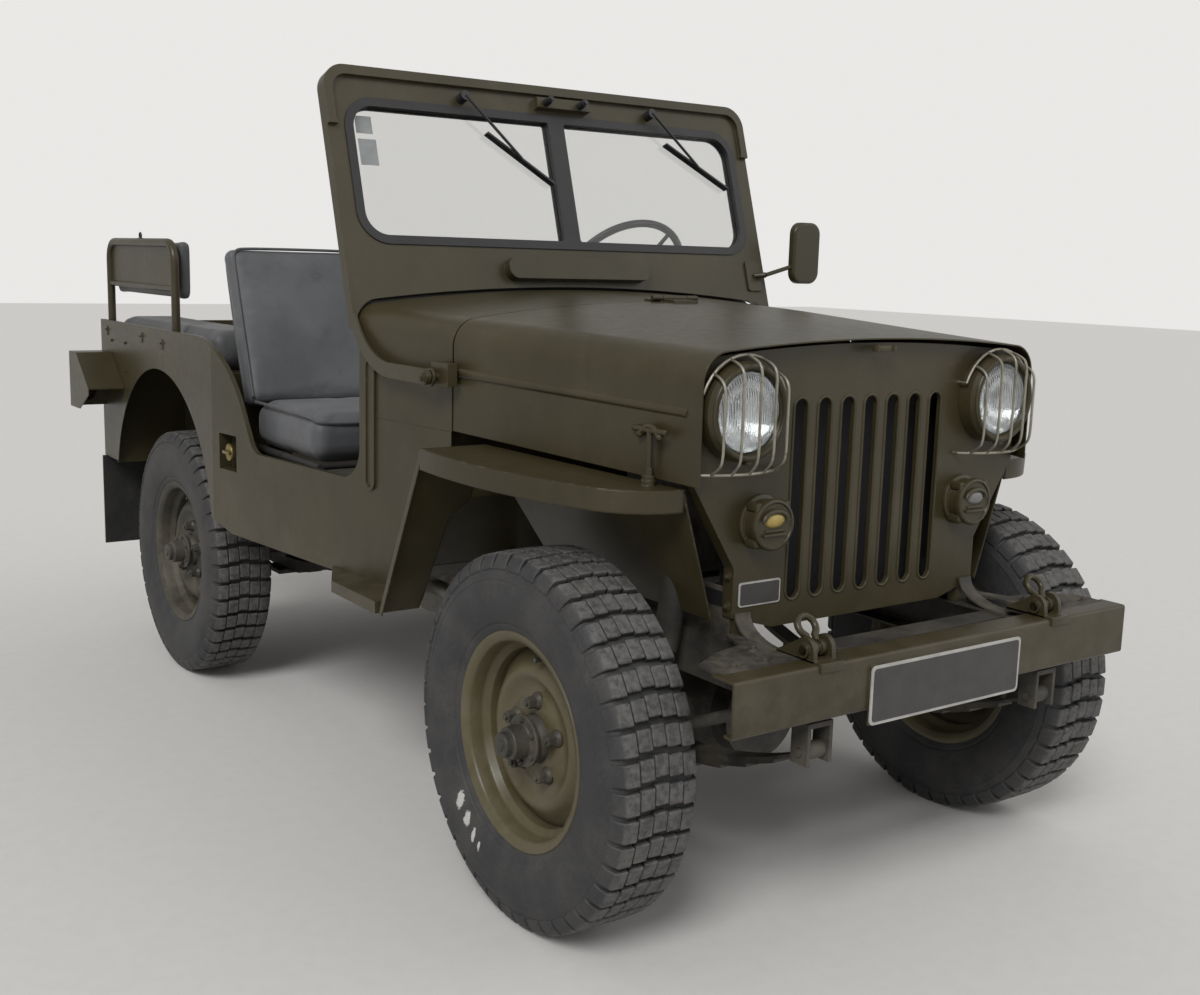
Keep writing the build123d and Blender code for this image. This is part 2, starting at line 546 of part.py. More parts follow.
with BuildPart() as cowl:
    for inset, drop, mode in ((0.0, 0.0, Mode.ADD), (SHEET, 20.0, Mode.SUBTRACT)):
        front = cowl_outline(COWL_FRONT_Y, SEAM_Z - drop, inset)
        rear = cowl_outline(COWL_END_Y, SEAM_Z - drop, inset)
        loft([front, rear], ruled=True, mode=mode)
    along_side(-FAR / 2, FAR, (
        (COWL_REAR_Y, SEAM_Z - 60), (COWL_REAR_Y, DOOR_FRONT_TOP_Z + 2),
        (screen_y(DOOR_FRONT_TOP_Z + 2, SCREEN_DEPTH / 2), DOOR_FRONT_TOP_Z + 2),
        (screen_y(COWL_CROWN_REAR_Z + 30, SCREEN_DEPTH / 2), COWL_CROWN_REAR_Z + 30),
        (COWL_END_Y + 40, COWL_CROWN_REAR_Z + 30), (COWL_END_Y + 40, SEAM_Z - 60)),
        mode=Mode.SUBTRACT)
    for side in (-1, 1):
        start = side * (HINGE_REACH + 2)
        rod((start, HINGE_LINE_Y, HINGE_LINE_Z), (start + side * 30, HINGE_LINE_Y, HINGE_LINE_Z),
            HINGE_BARREL_R)
        block((start, start + side * 30), (HINGE_LINE_Y + 3, HINGE_LINE_Y + 30),
              (HINGE_LINE_Z - 11, HINGE_LINE_Z - 3))
        foot_x = side * (side_x(PIVOT_Y + 30) - 1)
        block((foot_x, side * 640), (PIVOT_Y - 2, PIVOT_Y + 28), (1048, 1098))
        block((side * 616, side * 640), (PIVOT_Y - 46, PIVOT_Y), (1048, 1098))
        rod((side * 630, PIVOT_Y, PIVOT_Z), (side * 668, PIVOT_Y, PIVOT_Z), PIVOT_R)
        rod((side * 662, PIVOT_Y, PIVOT_Z), (side * 674, PIVOT_Y, PIVOT_Z), 16)
save(cowl, "cowl")

# Firewall with its toe board, open for the gearbox and the steering column
WHEEL_CENTRE = Vector(355, FRONT_AXLE_Y + 1136, 1265)
COLUMN_TILT = radians(35.0)
COLUMN_DIR = Vector(0, cos(COLUMN_TILT), sin(COLUMN_TILT))
COLUMN_LENGTH = 1282.0
COLUMN_R = 24.0
column_foot = WHEEL_CENTRE - COLUMN_DIR * COLUMN_LENGTH
with BuildPart() as firewall:
    wall = cowl_outline(FIREWALL_Y - SHEET, SEAM_Z, SHEET + 2 * SEAT_GAP)
    extrude(wall, amount=-SHEET)
    wall_half = side_x(FIREWALL_Y - SHEET) - SHEET - 2 * SEAT_GAP
    block((-wall_half, wall_half), (FIREWALL_Y - SHEET, FIREWALL_Y), (TOE_Z, SEAM_Z + 1))
    along_side(-wall_half, 2 * wall_half, (
        (FIREWALL_Y - SHEET, TOE_Z), (FIREWALL_Y, TOE_Z), (TOE_Y, FLOOR_TOP_Z),
        (TOE_Y - SHEET, FLOOR_TOP_Z)))
    block((-TUNNEL_HALF + SHEET, TUNNEL_HALF - SHEET), (FIREWALL_Y - 40, TOE_Y + 1),
          (FLOOR_TOP_Z - 1, TUNNEL_TOP_Z - SHEET), mode=Mode.SUBTRACT)
    rod(column_foot, WHEEL_CENTRE, COLUMN_R + 3, mode=Mode.SUBTRACT)
save(firewall, "firewall")

# Dashboard: a flat panel with a rolled lower edge and round instruments
DASH_Y = COWL_REAR_Y - 22.0
DASH_LOW_Z = 1010.0
DIALS = (
    # x, z, radius
    (0.0, 1130.0, 50.0),
    (-95.0, 1155.0, 26.0),
    (-95.0, 1095.0, 26.0),
    (95.0, 1155.0, 26.0),
    (95.0, 1095.0, 26.0),
)
with BuildPart() as dashboard:
    wall = cowl_outline(DASH_Y, DASH_LOW_Z, SHEET + 2 * SEAT_GAP)
    extrude(wall, amount=SHEET)
    dash_half = side_x(DASH_Y - 25) - SHEET - 1
    block((-dash_half, dash_half), (DASH_Y - 22, DASH_Y), (DASH_LOW_Z, DASH_LOW_Z + SHEET))
    rod(column_foot, WHEEL_CENTRE, COLUMN_R + 4, mode=Mode.SUBTRACT)
    for x, z, radius in DIALS:
        rod((x, DASH_Y - 12, z), (x, DASH_Y + 5, z), radius)
        rod((x, DASH_Y + 2, z), (x, DASH_Y + 6, z), radius - 5, mode=Mode.SUBTRACT)
save(dashboard, "dashboard")

# Tub sides: one outline drawn unfolded, folded at the bend behind the door
ARCH_R = 464.0
ARCH_Z = 492.0
ARCH_Y = REAR_AXLE_Y + 20.0
DOOR_SLOPE = radians(60.0)
DOOR_REAR_Z = 784.0
PANEL_FRONT_Y = HOOD_REAR_Y + 8.0
UNFOLD = 1 / cos(SIDE_TAPER)
FILLER_Y = REAR_AXLE_Y - 549.0
FILLER_Z = 769.0


def unfolded(y):
    """Distance from the bend, measured along the panel."""
    reach = y - SIDE_BEND_Y
    return reach * UNFOLD if reach < 0 else reach


def tub_outline(inset):
    """The whole side panel without its arch; inset lowers its open upper edge."""
    top = TUB_TOP_Z - inset
    slope_run = (top - DOOR_SILL_Z + inset) / tan(DOOR_SLOPE)
    slope_foot = unfolded(DOOR_REAR_Y) + inset / sin(DOOR_SLOPE)
    with BuildSketch(mode=Mode.PRIVATE) as outline:
        with BuildLine():
            Polyline(
                (unfolded(PANEL_FRONT_Y), SEAM_Z - SEAT_GAP),
                (unfolded(COWL_REAR_Y) + SEAT_GAP, SEAM_Z - SEAT_GAP),
                (unfolded(COWL_REAR_Y) + SEAT_GAP, DOOR_FRONT_TOP_Z),
                (unfolded(DOOR_FRONT_Y) - inset, DOOR_FRONT_TOP_Z),
                (unfolded(DOOR_FRONT_Y) - inset, DOOR_SILL_Z - inset),
                (slope_foot, DOOR_SILL_Z - inset),
                (slope_foot + slope_run, top),
                (unfolded(TUB_REAR_Y), top),
                (unfolded(TUB_REAR_Y), REAR_SILL_Z),
                (unfolded(ARCH_Y), REAR_SILL_Z),
                (unfolded(ARCH_Y), SILL_Z + 26),
                (unfolded(SIDE_BEND_Y), SILL_Z + 26),
                (unfolded(SIDE_BEND_Y) - 110, SILL_Z),
                (unfolded(FRONT_AXLE_Y + 536), SILL_Z),
                (unfolded(PANEL_FRONT_Y), TOE_Z - 20),
                close=True)
        make_face()
        corners = outline.vertices()
        near = corners.filter_by_position(Axis.X, unfolded(DOOR_FRONT_Y) - inset - 1,
                                          slope_foot + slope_run + 1)
        low = near.filter_by_position(Axis.Y, DOOR_SILL_Z - inset - 1, DOOR_SILL_Z - inset + 1)
        fillet(low.sort_by(Axis.X)[0], 80 + inset)
        low = outline.vertices().filter_by_position(Axis.Y, DOOR_SILL_Z - inset - 1,
                                                    DOOR_SILL_Z - inset + 1)
        fillet(low.sort_by(Axis.X)[-1], 60 + inset)
        high = outline.vertices().filter_by_position(Axis.Y, top - 1, top + 1)
        fillet(high.sort_by(Axis.X)[0], 340 - inset)
    return outline.sketch


FRONT_SIDE_PLANE = Plane(origin=(-TUB_HALF, SIDE_BEND_Y, 0),
                         x_dir=(-sin(SIDE_TAPER), cos(SIDE_TAPER), 0),
                         z_dir=(cos(SIDE_TAPER), sin(SIDE_TAPER), 0))
REAR_SIDE_PLANE = Plane(origin=(-TUB_HALF, SIDE_BEND_Y, 0), x_dir=(0, 1, 0), z_dir=(1, 0, 0))
BEAD_Y = COWL_REAR_Y - 33.0
BEAD_LOW_Z = 768.0
BEAD_HIGH_Z = 1085.0
BEAD_WIDTH = 44.0
side_panel = tub_outline(0.0)
side_inner = tub_outline(EDGE_WIDTH)

for label, flip in (("tub_side_right", False), ("tub_side_left", True)):
    with BuildPart() as tub_side:
        for plane, reach in ((FRONT_SIDE_PLANE, (-FAR, 0.0)), (REAR_SIDE_PLANE, (-0.2, FAR))):
            for depth, whole in ((SHEET, True), (EDGE_DEPTH, False)):
                with BuildSketch(plane):
                    add(side_panel)
                    if not whole:
                        add(side_inner, mode=Mode.SUBTRACT)
                    with Locations((unfolded(ARCH_Y), ARCH_Z)):
                        Circle(ARCH_R, mode=Mode.SUBTRACT)
                    with Locations(((reach[0] + reach[1]) / 2, 800)):
                        Rectangle(reach[1] - reach[0], 2000, mode=Mode.INTERSECT)
                extrude(amount=depth)
        with BuildSketch(FRONT_SIDE_PLANE):
            with Locations((unfolded(BEAD_Y), (BEAD_LOW_Z + BEAD_HIGH_Z) / 2)):
                SlotOverall(BEAD_HIGH_Z - BEAD_LOW_Z, BEAD_WIDTH, rotation=90)
        extrude(amount=-6)
        with BuildSketch(FRONT_SIDE_PLANE.offset(-2)):
            with Locations((unfolded(BEAD_Y), (BEAD_LOW_Z + BEAD_HIGH_Z) / 2)):
                SlotOverall(BEAD_HIGH_Z - BEAD_LOW_Z - 16, BEAD_WIDTH - 16, rotation=90)
        extrude(amount=-5, mode=Mode.SUBTRACT)
        if flip:
            mirror(about=Plane.YZ)
            split(bisect_by=Plane.YZ, keep=Keep.TOP)
        else:
            with BuildSketch(FRONT_SIDE_PLANE):
                with Locations((unfolded(FILLER_Y), FILLER_Z)):
                    Rectangle(108, 106)
            extrude(amount=42)
            with BuildSketch(FRONT_SIDE_PLANE.offset(-1)):
                with Locations((unfolded(FILLER_Y), FILLER_Z)):
                    Rectangle(102, 100)
            extrude(amount=40, mode=Mode.SUBTRACT)
    save(tub_side, label)

# Wheelhouses: open outwards and downwards, with the shelf behind them
WHEELHOUSE_FRONT_Y = ARCH_Y - 469.0
WHEELHOUSE_REAR_Y = ARCH_Y + 469.0
with BuildPart() as wheelhouses:
    outer = -TUB_HALF + EDGE_DEPTH + SEAT_GAP
    wall = -TUB_HALF + SHEET
    inner = -WHEELHOUSE_INNER_X
    block((wall, inner), (WHEELHOUSE_FRONT_Y, WHEELHOUSE_REAR_Y), (FLOOR_TOP_Z, WHEELHOUSE_TOP_Z))
    block((wall - 1, inner - SHEET), (WHEELHOUSE_FRONT_Y + SHEET, WHEELHOUSE_REAR_Y - SHEET),
          (FLOOR_TOP_Z - 1, WHEELHOUSE_TOP_Z - SHEET), mode=Mode.SUBTRACT)
    block((wall, inner), (WHEELHOUSE_REAR_Y - 1, TUB_REAR_Y - SHEET),
          (WHEELHOUSE_TOP_Z - SHEET, WHEELHOUSE_TOP_Z))
    mirror(about=Plane.YZ)
save(wheelhouses, "wheelhouses")

# Tub floor: footwell, tunnel, the raised rear floor and its cross sills
REAR_FLOOR_Y = REAR_AXLE_Y - 530.0
TUNNEL_REAR_Y = FRONT_AXLE_Y + 1060.0
with BuildPart() as tub_floor:
    floor_low = RAIL_TOP_Z + SEAT_GAP
    front_half = side_x(TOE_Y) - SHEET - SEAT_GAP
    bend_half = TUB_HALF - SHEET - SEAT_GAP
    with BuildSketch(Plane.XY.offset(floor_low)):
        with BuildLine():
            Polyline((-front_half, TOE_Y), (front_half, TOE_Y), (bend_half, SIDE_BEND_Y),
                     (bend_half, WHEELHOUSE_FRONT_Y), (-bend_half, WHEELHOUSE_FRONT_Y),
                     (-bend_half, SIDE_BEND_Y), close=True)
        make_face()
    extrude(amount=SHEET)
    block((-WHEELHOUSE_INNER_X, WHEELHOUSE_INNER_X), (REAR_FLOOR_Y, TUB_REAR_Y - SHEET),
          (floor_low, floor_low + REAR_FLOOR_RISE))
    block((-WHEELHOUSE_INNER_X + 1, WHEELHOUSE_INNER_X - 1),
          (REAR_FLOOR_Y + SHEET, TUB_REAR_Y - SHEET + 1),
          (floor_low - 1, floor_low + REAR_FLOOR_RISE - SHEET), mode=Mode.SUBTRACT)
    for side in (-1, 1):
        block((side * WHEELHOUSE_INNER_X, side * (bend_half)),
              (WHEELHOUSE_REAR_Y, TUB_REAR_Y - SHEET), (REAR_SILL_Z, REAR_SILL_Z + SHEET))
    for sill_y in (REAR_FLOOR_Y + 200, REAR_FLOOR_Y + 600, REAR_FLOOR_Y + 1000):
        block((-RAIL_OUTER_X, RAIL_OUTER_X), (sill_y - 30, sill_y + 30),
              (floor_low, floor_low + REAR_FLOOR_RISE - SHEET + 1))
        block((-RAIL_OUTER_X - 1, RAIL_OUTER_X + 1), (sill_y - 27, sill_y + 27),
              (floor_low + SHEET, floor_low + REAR_FLOOR_RISE - SHEET), mode=Mode.SUBTRACT)
    block((-TUNNEL_HALF, TUNNEL_HALF), (FIREWALL_Y, TUNNEL_REAR_Y), (floor_low, TUNNEL_TOP_Z))
    block((-TUNNEL_HALF + SHEET, TUNNEL_HALF - SHEET), (FIREWALL_Y - 1, TUNNEL_REAR_Y - SHEET),
          (floor_low - 1, TUNNEL_TOP_Z - SHEET), mode=Mode.SUBTRACT)
    along_side(-TUNNEL_HALF - 1, 2 * TUNNEL_HALF + 2, (
        (FIREWALL_Y - 50, TOE_Z + 60), (FIREWALL_Y + 1, TOE_Z), (TOE_Y + 1, FLOOR_TOP_Z),
        (TOE_Y + 1, floor_low - 1), (FIREWALL_Y - 50, floor_low - 1)), mode=Mode.SUBTRACT)
save(tub_floor, "tub_floor")

# Rear panel: two corner plates joined below the tailgate
TAILGATE_HALF = 470.0
TAILGATE_LOW_Z = 640.0
HINGE_Z = TAILGATE_LOW_Z - 8.0
HINGE_Y = TUB_REAR_Y + 13.0
GATE_FACE_Y = TUB_REAR_Y + 5.5
with BuildPart() as rear_panel:
    inner_half = TUB_HALF - SHEET - SEAT_GAP
    across(TUB_REAR_Y, SHEET, (
        (-inner_half, TUB_TOP_Z - EDGE_WIDTH - 2), (-inner_half, REAR_SILL_Z - 20),
        (-inner_half + 60, RAIL_BOTTOM_Z + 20), (inner_half - 60, RAIL_BOTTOM_Z + 20),
        (inner_half, REAR_SILL_Z - 20), (inner_half, TUB_TOP_Z - EDGE_WIDTH - 2),
        (TAILGATE_HALF, TUB_TOP_Z - EDGE_WIDTH - 2), (TAILGATE_HALF, TAILGATE_LOW_Z),
        (-TAILGATE_HALF, TAILGATE_LOW_Z), (-TAILGATE_HALF, TUB_TOP_Z - EDGE_WIDTH - 2)))
    for hinge_x in (-360, 0, 360):
        for end in (-1, 1):
            start = hinge_x + end * (40 + SEAT_GAP)
            rod((start, HINGE_Y, HINGE_Z), (start + end * 16, HINGE_Y, HINGE_Z), 7)
            block((start, start + end * 16), (TUB_REAR_Y - 1, HINGE_Y - 2),
                  (HINGE_Z - 40, HINGE_Z + 3))
save(rear_panel, "rear_panel")

# Tailgate: pressed panel with a folded edge, hinged along its lower edge
with BuildPart() as tailgate:
    block((-TAILGATE_HALF - 14, TAILGATE_HALF + 14), (GATE_FACE_Y, GATE_FACE_Y + 12),
          (HINGE_Z + 8, TUB_TOP_Z - 6))
    block((-TAILGATE_HALF, TAILGATE_HALF), (GATE_FACE_Y + SHEET, GATE_FACE_Y + 13),
          (HINGE_Z + 22, TUB_TOP_Z - 20), mode=Mode.SUBTRACT)
    for bead_x in (-310, -105, 105, 310):
        block((bead_x - 22, bead_x + 22), (GATE_FACE_Y + 2, GATE_FACE_Y + 9),
              (HINGE_Z + 60, TUB_TOP_Z - 60))
    for hinge_x in (-360, 0, 360):
        rod((hinge_x - 40, HINGE_Y, HINGE_Z), (hinge_x + 40, HINGE_Y, HINGE_Z), 7)
        block((hinge_x - 40, hinge_x + 40), (GATE_FACE_Y + 2, GATE_FACE_Y + 8),
              (HINGE_Z + 2, HINGE_Z + 24))
save(tailgate, "tailgate")

# Grille panel with seven upright slots, lamp openings and a folded edge
SLOT_COUNT = 7
SLOT_PITCH = 64.5
SLOT_WIDTH = 39.0
SLOT_LOW_Z = 664.0
SLOT_HIGH_Z = 1071.0
SLOT_EDGE = 3.0
SLOT_DEPTH = 12.0
HEADLAMP_X = 363.0
HEADLAMP_Z = 1052.0
HEADLAMP_R = 96.0
MARKER_X = 291.0
MARKER_Z = 832.0
GRILLE_HALF = 458.0
GRILLE_WAIST_Z = 912.0
GRILLE_LOW_HALF = 350.0
GRILLE_KNEE_Z = 742.0
GRILLE_LOW_Z = 614.0
slot_middle_z = (SLOT_LOW_Z + SLOT_HIGH_Z) / 2


def grille_outline(inset):
    """The grille panel's outer edge, under the hood's front lip."""
    crown = HOOD_CROWN_FRONT_Z - SHEET - 8 - inset
    shoulder = HOOD_SHOULDER_FRONT_Z - SHEET - 9 - inset
    half = GRILLE_HALF - inset
    with BuildSketch(Plane.XZ.offset(-GRILLE_Y), mode=Mode.PRIVATE) as outline:
        with BuildLine():
            Polyline((half, shoulder), (half, GRILLE_WAIST_Z), (GRILLE_LOW_HALF - inset, GRILLE_KNEE_Z),
                     (GRILLE_LOW_HALF - inset, GRILLE_LOW_Z + 30 + inset),
                     (GRILLE_LOW_HALF - 105, GRILLE_LOW_Z + inset),
                     (-GRILLE_LOW_HALF + 105, GRILLE_LOW_Z + inset),
                     (-GRILLE_LOW_HALF + inset, GRILLE_LOW_Z + 30 + inset),
                     (-GRILLE_LOW_HALF + inset, GRILLE_KNEE_Z), (-half, GRILLE_WAIST_Z),
                     (-half, shoulder))
            ThreePointArc((-half, shoulder), (0, crown), (half, shoulder))
        make_face()
        fillet(outline.vertices().sort_by(Axis.Y)[-2:], HOOD_CORNER_R - 6 - inset)
    return outline.sketch


with BuildPart() as grille_panel:
    with BuildSketch(Plane.XZ.offset(-GRILLE_Y)):
        add(grille_outline(0.0))
    extrude(amount=-30)
    with BuildSketch(Plane.XZ.offset(-GRILLE_Y - SHEET)):
        add(grille_outline(SHEET))
    extrude(amount=-30, mode=Mode.SUBTRACT)
    slots = [(SLOT_PITCH * (index - (SLOT_COUNT - 1) / 2), slot_middle_z)
             for index in range(SLOT_COUNT)]
    with BuildSketch(Plane.XZ.offset(-GRILLE_Y)):
        with Locations(*slots):
            SlotOverall(SLOT_HIGH_Z - SLOT_LOW_Z + 2 * SLOT_EDGE, SLOT_WIDTH + 2 * SLOT_EDGE,
                        rotation=90)
    extrude(amount=-SLOT_DEPTH)
    with BuildSketch(Plane.XZ.offset(-GRILLE_Y)):
        with Locations(*slots):
            SlotOverall(SLOT_HIGH_Z - SLOT_LOW_Z, SLOT_WIDTH, rotation=90)
        with Locations((-HEADLAMP_X, HEADLAMP_Z), (HEADLAMP_X, HEADLAMP_Z)):
            Circle(HEADLAMP_R - 12)
        with Locations((-MARKER_X, MARKER_Z), (MARKER_X, MARKER_Z)):
            Circle(30)
    extrude(amount=-SLOT_DEPTH - 1, both=True, mode=Mode.SUBTRACT)
    for side in (-1, 1):
        block((side * (RAIL_OUTER_X - 40), side * (RAIL_OUTER_X - 8)), (GRILLE_Y + 1, GRILLE_Y + 28),
              (RAIL_TOP_Z + SEAT_GAP, GRILLE_LOW_Z + 40))
save(grille_panel, "grille_panel")

# Radiator: core with top and bottom tanks
RADIATOR_Y = GRILLE_Y + 62.0
with BuildPart() as radiator:
    block((-235, 235), (RADIATOR_Y, RADIATOR_Y + 60), (680, 1050))
    block((-245, 245), (RADIATOR_Y - 6, RADIATOR_Y + 66), (1050, 1120))
    block((-245, 245), (RADIATOR_Y - 6, RADIATOR_Y + 66), (630, 680))
    rod((0, RADIATOR_Y + 30, 1110), (0, RADIATOR_Y + 30, 1150), 30)
    for side in (-1, 1):
        block((side * 234, side * (GRILLE_LOW_HALF - SHEET - SEAT_GAP)),
              (GRILLE_Y + 8, RADIATOR_Y + 40), (660, 690))
save(radiator, "radiator")

# Headlamps: round bowls with a rolled bezel; the domed lenses are apart
LENS_R = 82.0
LENS_DOME = 18.0
LAMP_OUT = 44.0
LAMP_FACE_Y = GRILLE_Y - LAMP_OUT
with BuildPart() as headlamps:
    for side in (-1, 1):
        lamp_plane = Plane(origin=(side * HEADLAMP_X, GRILLE_Y, HEADLAMP_Z),
                           x_dir=(1, 0, 0), z_dir=(0, 0, 1))
        with BuildSketch(lamp_plane):
            with BuildLine():
                Polyline((LENS_R - 4, -LAMP_OUT + 8), (LENS_R + 2, -LAMP_OUT),
                         (HEADLAMP_R - 4, -LAMP_OUT + 2), (HEADLAMP_R, -LAMP_OUT + 12),
                         (HEADLAMP_R, -SEAT_GAP), (HEADLAMP_R - 13, -SEAT_GAP),
                         (HEADLAMP_R - 18, 60), (40, 105), (0, 112), (0, 98), (40, 90),
                         (LENS_R - 12, 40), (LENS_R - 4, -LAMP_OUT + 16), close=True)
            make_face()
        revolve(axis=Axis((side * HEADLAMP_X, 0, HEADLAMP_Z), (0, 1, 0)))
save(headlamps, "headlamps")

with BuildPart() as headlamp_lenses:
    for side in (-1, 1):
        lamp_plane = Plane(origin=(side * HEADLAMP_X, GRILLE_Y, HEADLAMP_Z),
                           x_dir=(1, 0, 0), z_dir=(0, 0, 1))
        edge = LENS_R - 4 - SEAT_GAP
        dome_r = (edge ** 2 + LENS_DOME ** 2) / (2 * LENS_DOME)
        with BuildSketch(lamp_plane):
            with BuildLine():
                Polyline((0, -LAMP_OUT + 13), (edge, -LAMP_OUT + 13), (edge, -LAMP_OUT + 6))
                RadiusArc((edge, -LAMP_OUT + 6), (0, -LAMP_OUT + 6 - LENS_DOME), dome_r)
                Line((0, -LAMP_OUT + 6 - LENS_DOME), (0, -LAMP_OUT + 13))
            make_face()
        revolve(axis=Axis((side * HEADLAMP_X, 0, HEADLAMP_Z), (0, 1, 0)))
save(headlamp_lenses, "headlamp_lenses")

# Wire guards: two flat hoops joined by upright bowed bars
GUARD_WIRE_R = 3.6
GUARD_BAR_R = 3.0
GUARD_HOOPS = (
    # rise from the lamp's middle, inner reach, outer reach, bulge forwards
    (-96.0, 107.0, 97.0, 118.0),
    (84.0, 100.0, 84.0, 108.0),
)
GUARD_BARS = (22.0, 56.0, 90.0, 124.0, 158.0)
GUARD_BULGE = 20.0
with BuildPart() as lamp_guards:
    middle = Vector(HEADLAMP_X, GRILLE_Y - GUARD_WIRE_R - SEAT_GAP, HEADLAMP_Z)
    rings = []
    for rise, inner, outer, bulge in GUARD_HOOPS:
        centre = middle + Vector(0, 0, rise)
        with BuildLine() as hoop:
            ThreePointArc(centre + Vector(-inner, 0, 0),
                          centre + Vector((outer - inner) / 2, -bulge, 0),
                          centre + Vector(outer, 0, 0))
        wire(hoop.line, GUARD_WIRE_R)
        rings.append((hoop.edge().arc_center, hoop.edge().radius))
    for turn in GUARD_BARS:
        out = Vector(-cos(radians(turn)), -sin(radians(turn)), 0)
        low, high = [centre + out * radius for centre, radius in rings]
        with BuildLine() as bar:
            ThreePointArc(low, (low + high) * 0.5 + out * GUARD_BULGE, high)
        wire(bar.line, GUARD_BAR_R)
    mirror(about=Plane.YZ)
save(lamp_guards, "lamp_guards")

# Marker lamps: short drums with a hooded front
MARKER_R = 51.0
MARKER_OUT = 46.0
with BuildPart() as marker_lamps:
    for side in (-1, 1):
        base = (side * MARKER_X, GRILLE_Y - SEAT_GAP, MARKER_Z)
        rod(base, (base[0], GRILLE_Y - MARKER_OUT, MARKER_Z), MARKER_R)
        rod((base[0], GRILLE_Y - MARKER_OUT - 1, MARKER_Z),
            (base[0], GRILLE_Y - MARKER_OUT + 5, MARKER_Z), MARKER_R - 7, mode=Mode.SUBTRACT)
        rod((base[0], GRILLE_Y - 1, MARKER_Z), (base[0], GRILLE_Y + 60, MARKER_Z), 28)
        with BuildSketch(Plane.XZ.offset(-GRILLE_Y + MARKER_OUT - 6)):
            with Locations((side * MARKER_X, MARKER_Z + 14)):
                SlotOverall(50, 26)
        extrude(amount=8)
save(marker_lamps, "marker_lamps")

# Front wings: sloping tops with a deep lip, drop plates behind the wheels, aprons
WING_FRONT_Y = FRONT_AXLE_Y - 224.0
WING_REAR_Y = FRONT_AXLE_Y + 326.0
WING_FRONT_Z = 905.0
WING_REAR_Z = 928.0
WING_LIP = 45.0
WING_CLEAR = 12.0
DROP_FOOT_Y = FRONT_AXLE_Y + 536.0
DROP_FOOT_Z = 526.0
APRON_FOOT_Z = 640.0
LATCH_X = 507.0
LATCH_Y = FRONT_AXLE_Y - 164.0
LATCH_Z = 1012.0


def hood_half(y):
    """Half width of the hood's side at a station."""
    share = (y - HOOD_FRONT_Y) / (HOOD_REAR_Y - HOOD_FRONT_Y)
    return HOOD_FRONT_HALF + share * (HOOD_REAR_HALF - HOOD_FRONT_HALF)


wing_slope = atan2(WING_REAR_Z - WING_FRONT_Z, WING_REAR_Y - WING_FRONT_Y)
wing_plane = Plane(origin=(0, WING_FRONT_Y, WING_FRONT_Z), x_dir=(1, 0, 0),
                   z_dir=(0, -sin(wing_slope), cos(wing_slope)))
drop_run = Vector(0, DROP_FOOT_Y - WING_REAR_Y, DROP_FOOT_Z - WING_REAR_Z)
drop_plane = Plane(origin=(0, WING_REAR_Y, WING_REAR_Z), x_dir=(1, 0, 0),
                   z_dir=(0, -drop_run.Z, drop_run.Y))

def wing_outline(inset):
    """Plan of one wing's top, drawn on the sloping wing plane."""
    run = WING_REAR_Y - WING_FRONT_Y
    with BuildSketch(mode=Mode.PRIVATE) as outline:
        with BuildLine():
            Polyline((460, 0), (hood_half(WING_FRONT_Y) - WING_CLEAR, 0),
                     (hood_half(WING_REAR_Y) - WING_CLEAR, run), (TUB_HALF, run))
            ThreePointArc((TUB_HALF, run), (707, 302), (614, 70))
            ThreePointArc((614, 70), (545, 15), (460, 0))
        make_face()
        if inset:
            offset(amount=-inset, mode=Mode.REPLACE)
    return outline.sketch


with BuildPart() as front_wings:
    with BuildSketch(wing_plane):
        add(wing_outline(0.0))
    extrude(amount=-WING_LIP)
    with BuildSketch(wing_plane.offset(-SHEET)):
        add(wing_outline(SHEET))
    extrude(amount=-WING_LIP, mode=Mode.SUBTRACT)
    length = drop_run.length
    inner_x = hood_half(WING_REAR_Y) - WING_CLEAR
    with BuildSketch(drop_plane):
        with BuildLine():
            Polyline((inner_x, 0), (TUB_HALF, 0), (TUB_HALF - 8, length), (624, length),
                     (614, 190), (inner_x, 150), close=True)
        make_face()
    extrude(amount=-SHEET)
    with BuildSketch(drop_plane):
        with BuildLine():
            Polyline((TUB_HALF, 0), (TUB_HALF - 8, length), (TUB_HALF - 8 - SHEET, length),
                     (TUB_HALF - SHEET, 0), close=True)
        make_face()
    extrude(amount=-EDGE_DEPTH)
    with BuildSketch(Plane.XZ.offset(-WING_FRONT_Y - 1)) as apron_front:
        top_x = hood_half(WING_FRONT_Y) - WING_CLEAR - SHEET
        with BuildLine():
            Polyline((385, APRON_FOOT_Z), (385 + SHEET, APRON_FOOT_Z),
                     (top_x + SHEET, WING_FRONT_Z - 10), (top_x, WING_FRONT_Z - 10), close=True)
        make_face()
    with BuildSketch(Plane.XZ.offset(-WING_REAR_Y + 1)) as apron_rear:
        top_x = inner_x - SHEET
        with BuildLine():
            Polyline((385, APRON_FOOT_Z), (385 + SHEET, APRON_FOOT_Z),
                     (top_x + SHEET, WING_REAR_Z - 10), (top_x, WING_REAR_Z - 10), close=True)
        make_face()
    loft([apron_front.sketch, apron_rear.sketch], ruled=True)
    rod((LATCH_X, LATCH_Y, WING_FRONT_Z), (LATCH_X, LATCH_Y, LATCH_Z), 6)
    rod((LATCH_X, LATCH_Y - 50, LATCH_Z), (LATCH_X, LATCH_Y + 50, LATCH_Z), 6)
    rod((LATCH_X, LATCH_Y, WING_FRONT_Z), (LATCH_X, LATCH_Y, WING_FRONT_Z + 14), 14)
    mirror(about=Plane.YZ)
save(front_wings, "front_wings")

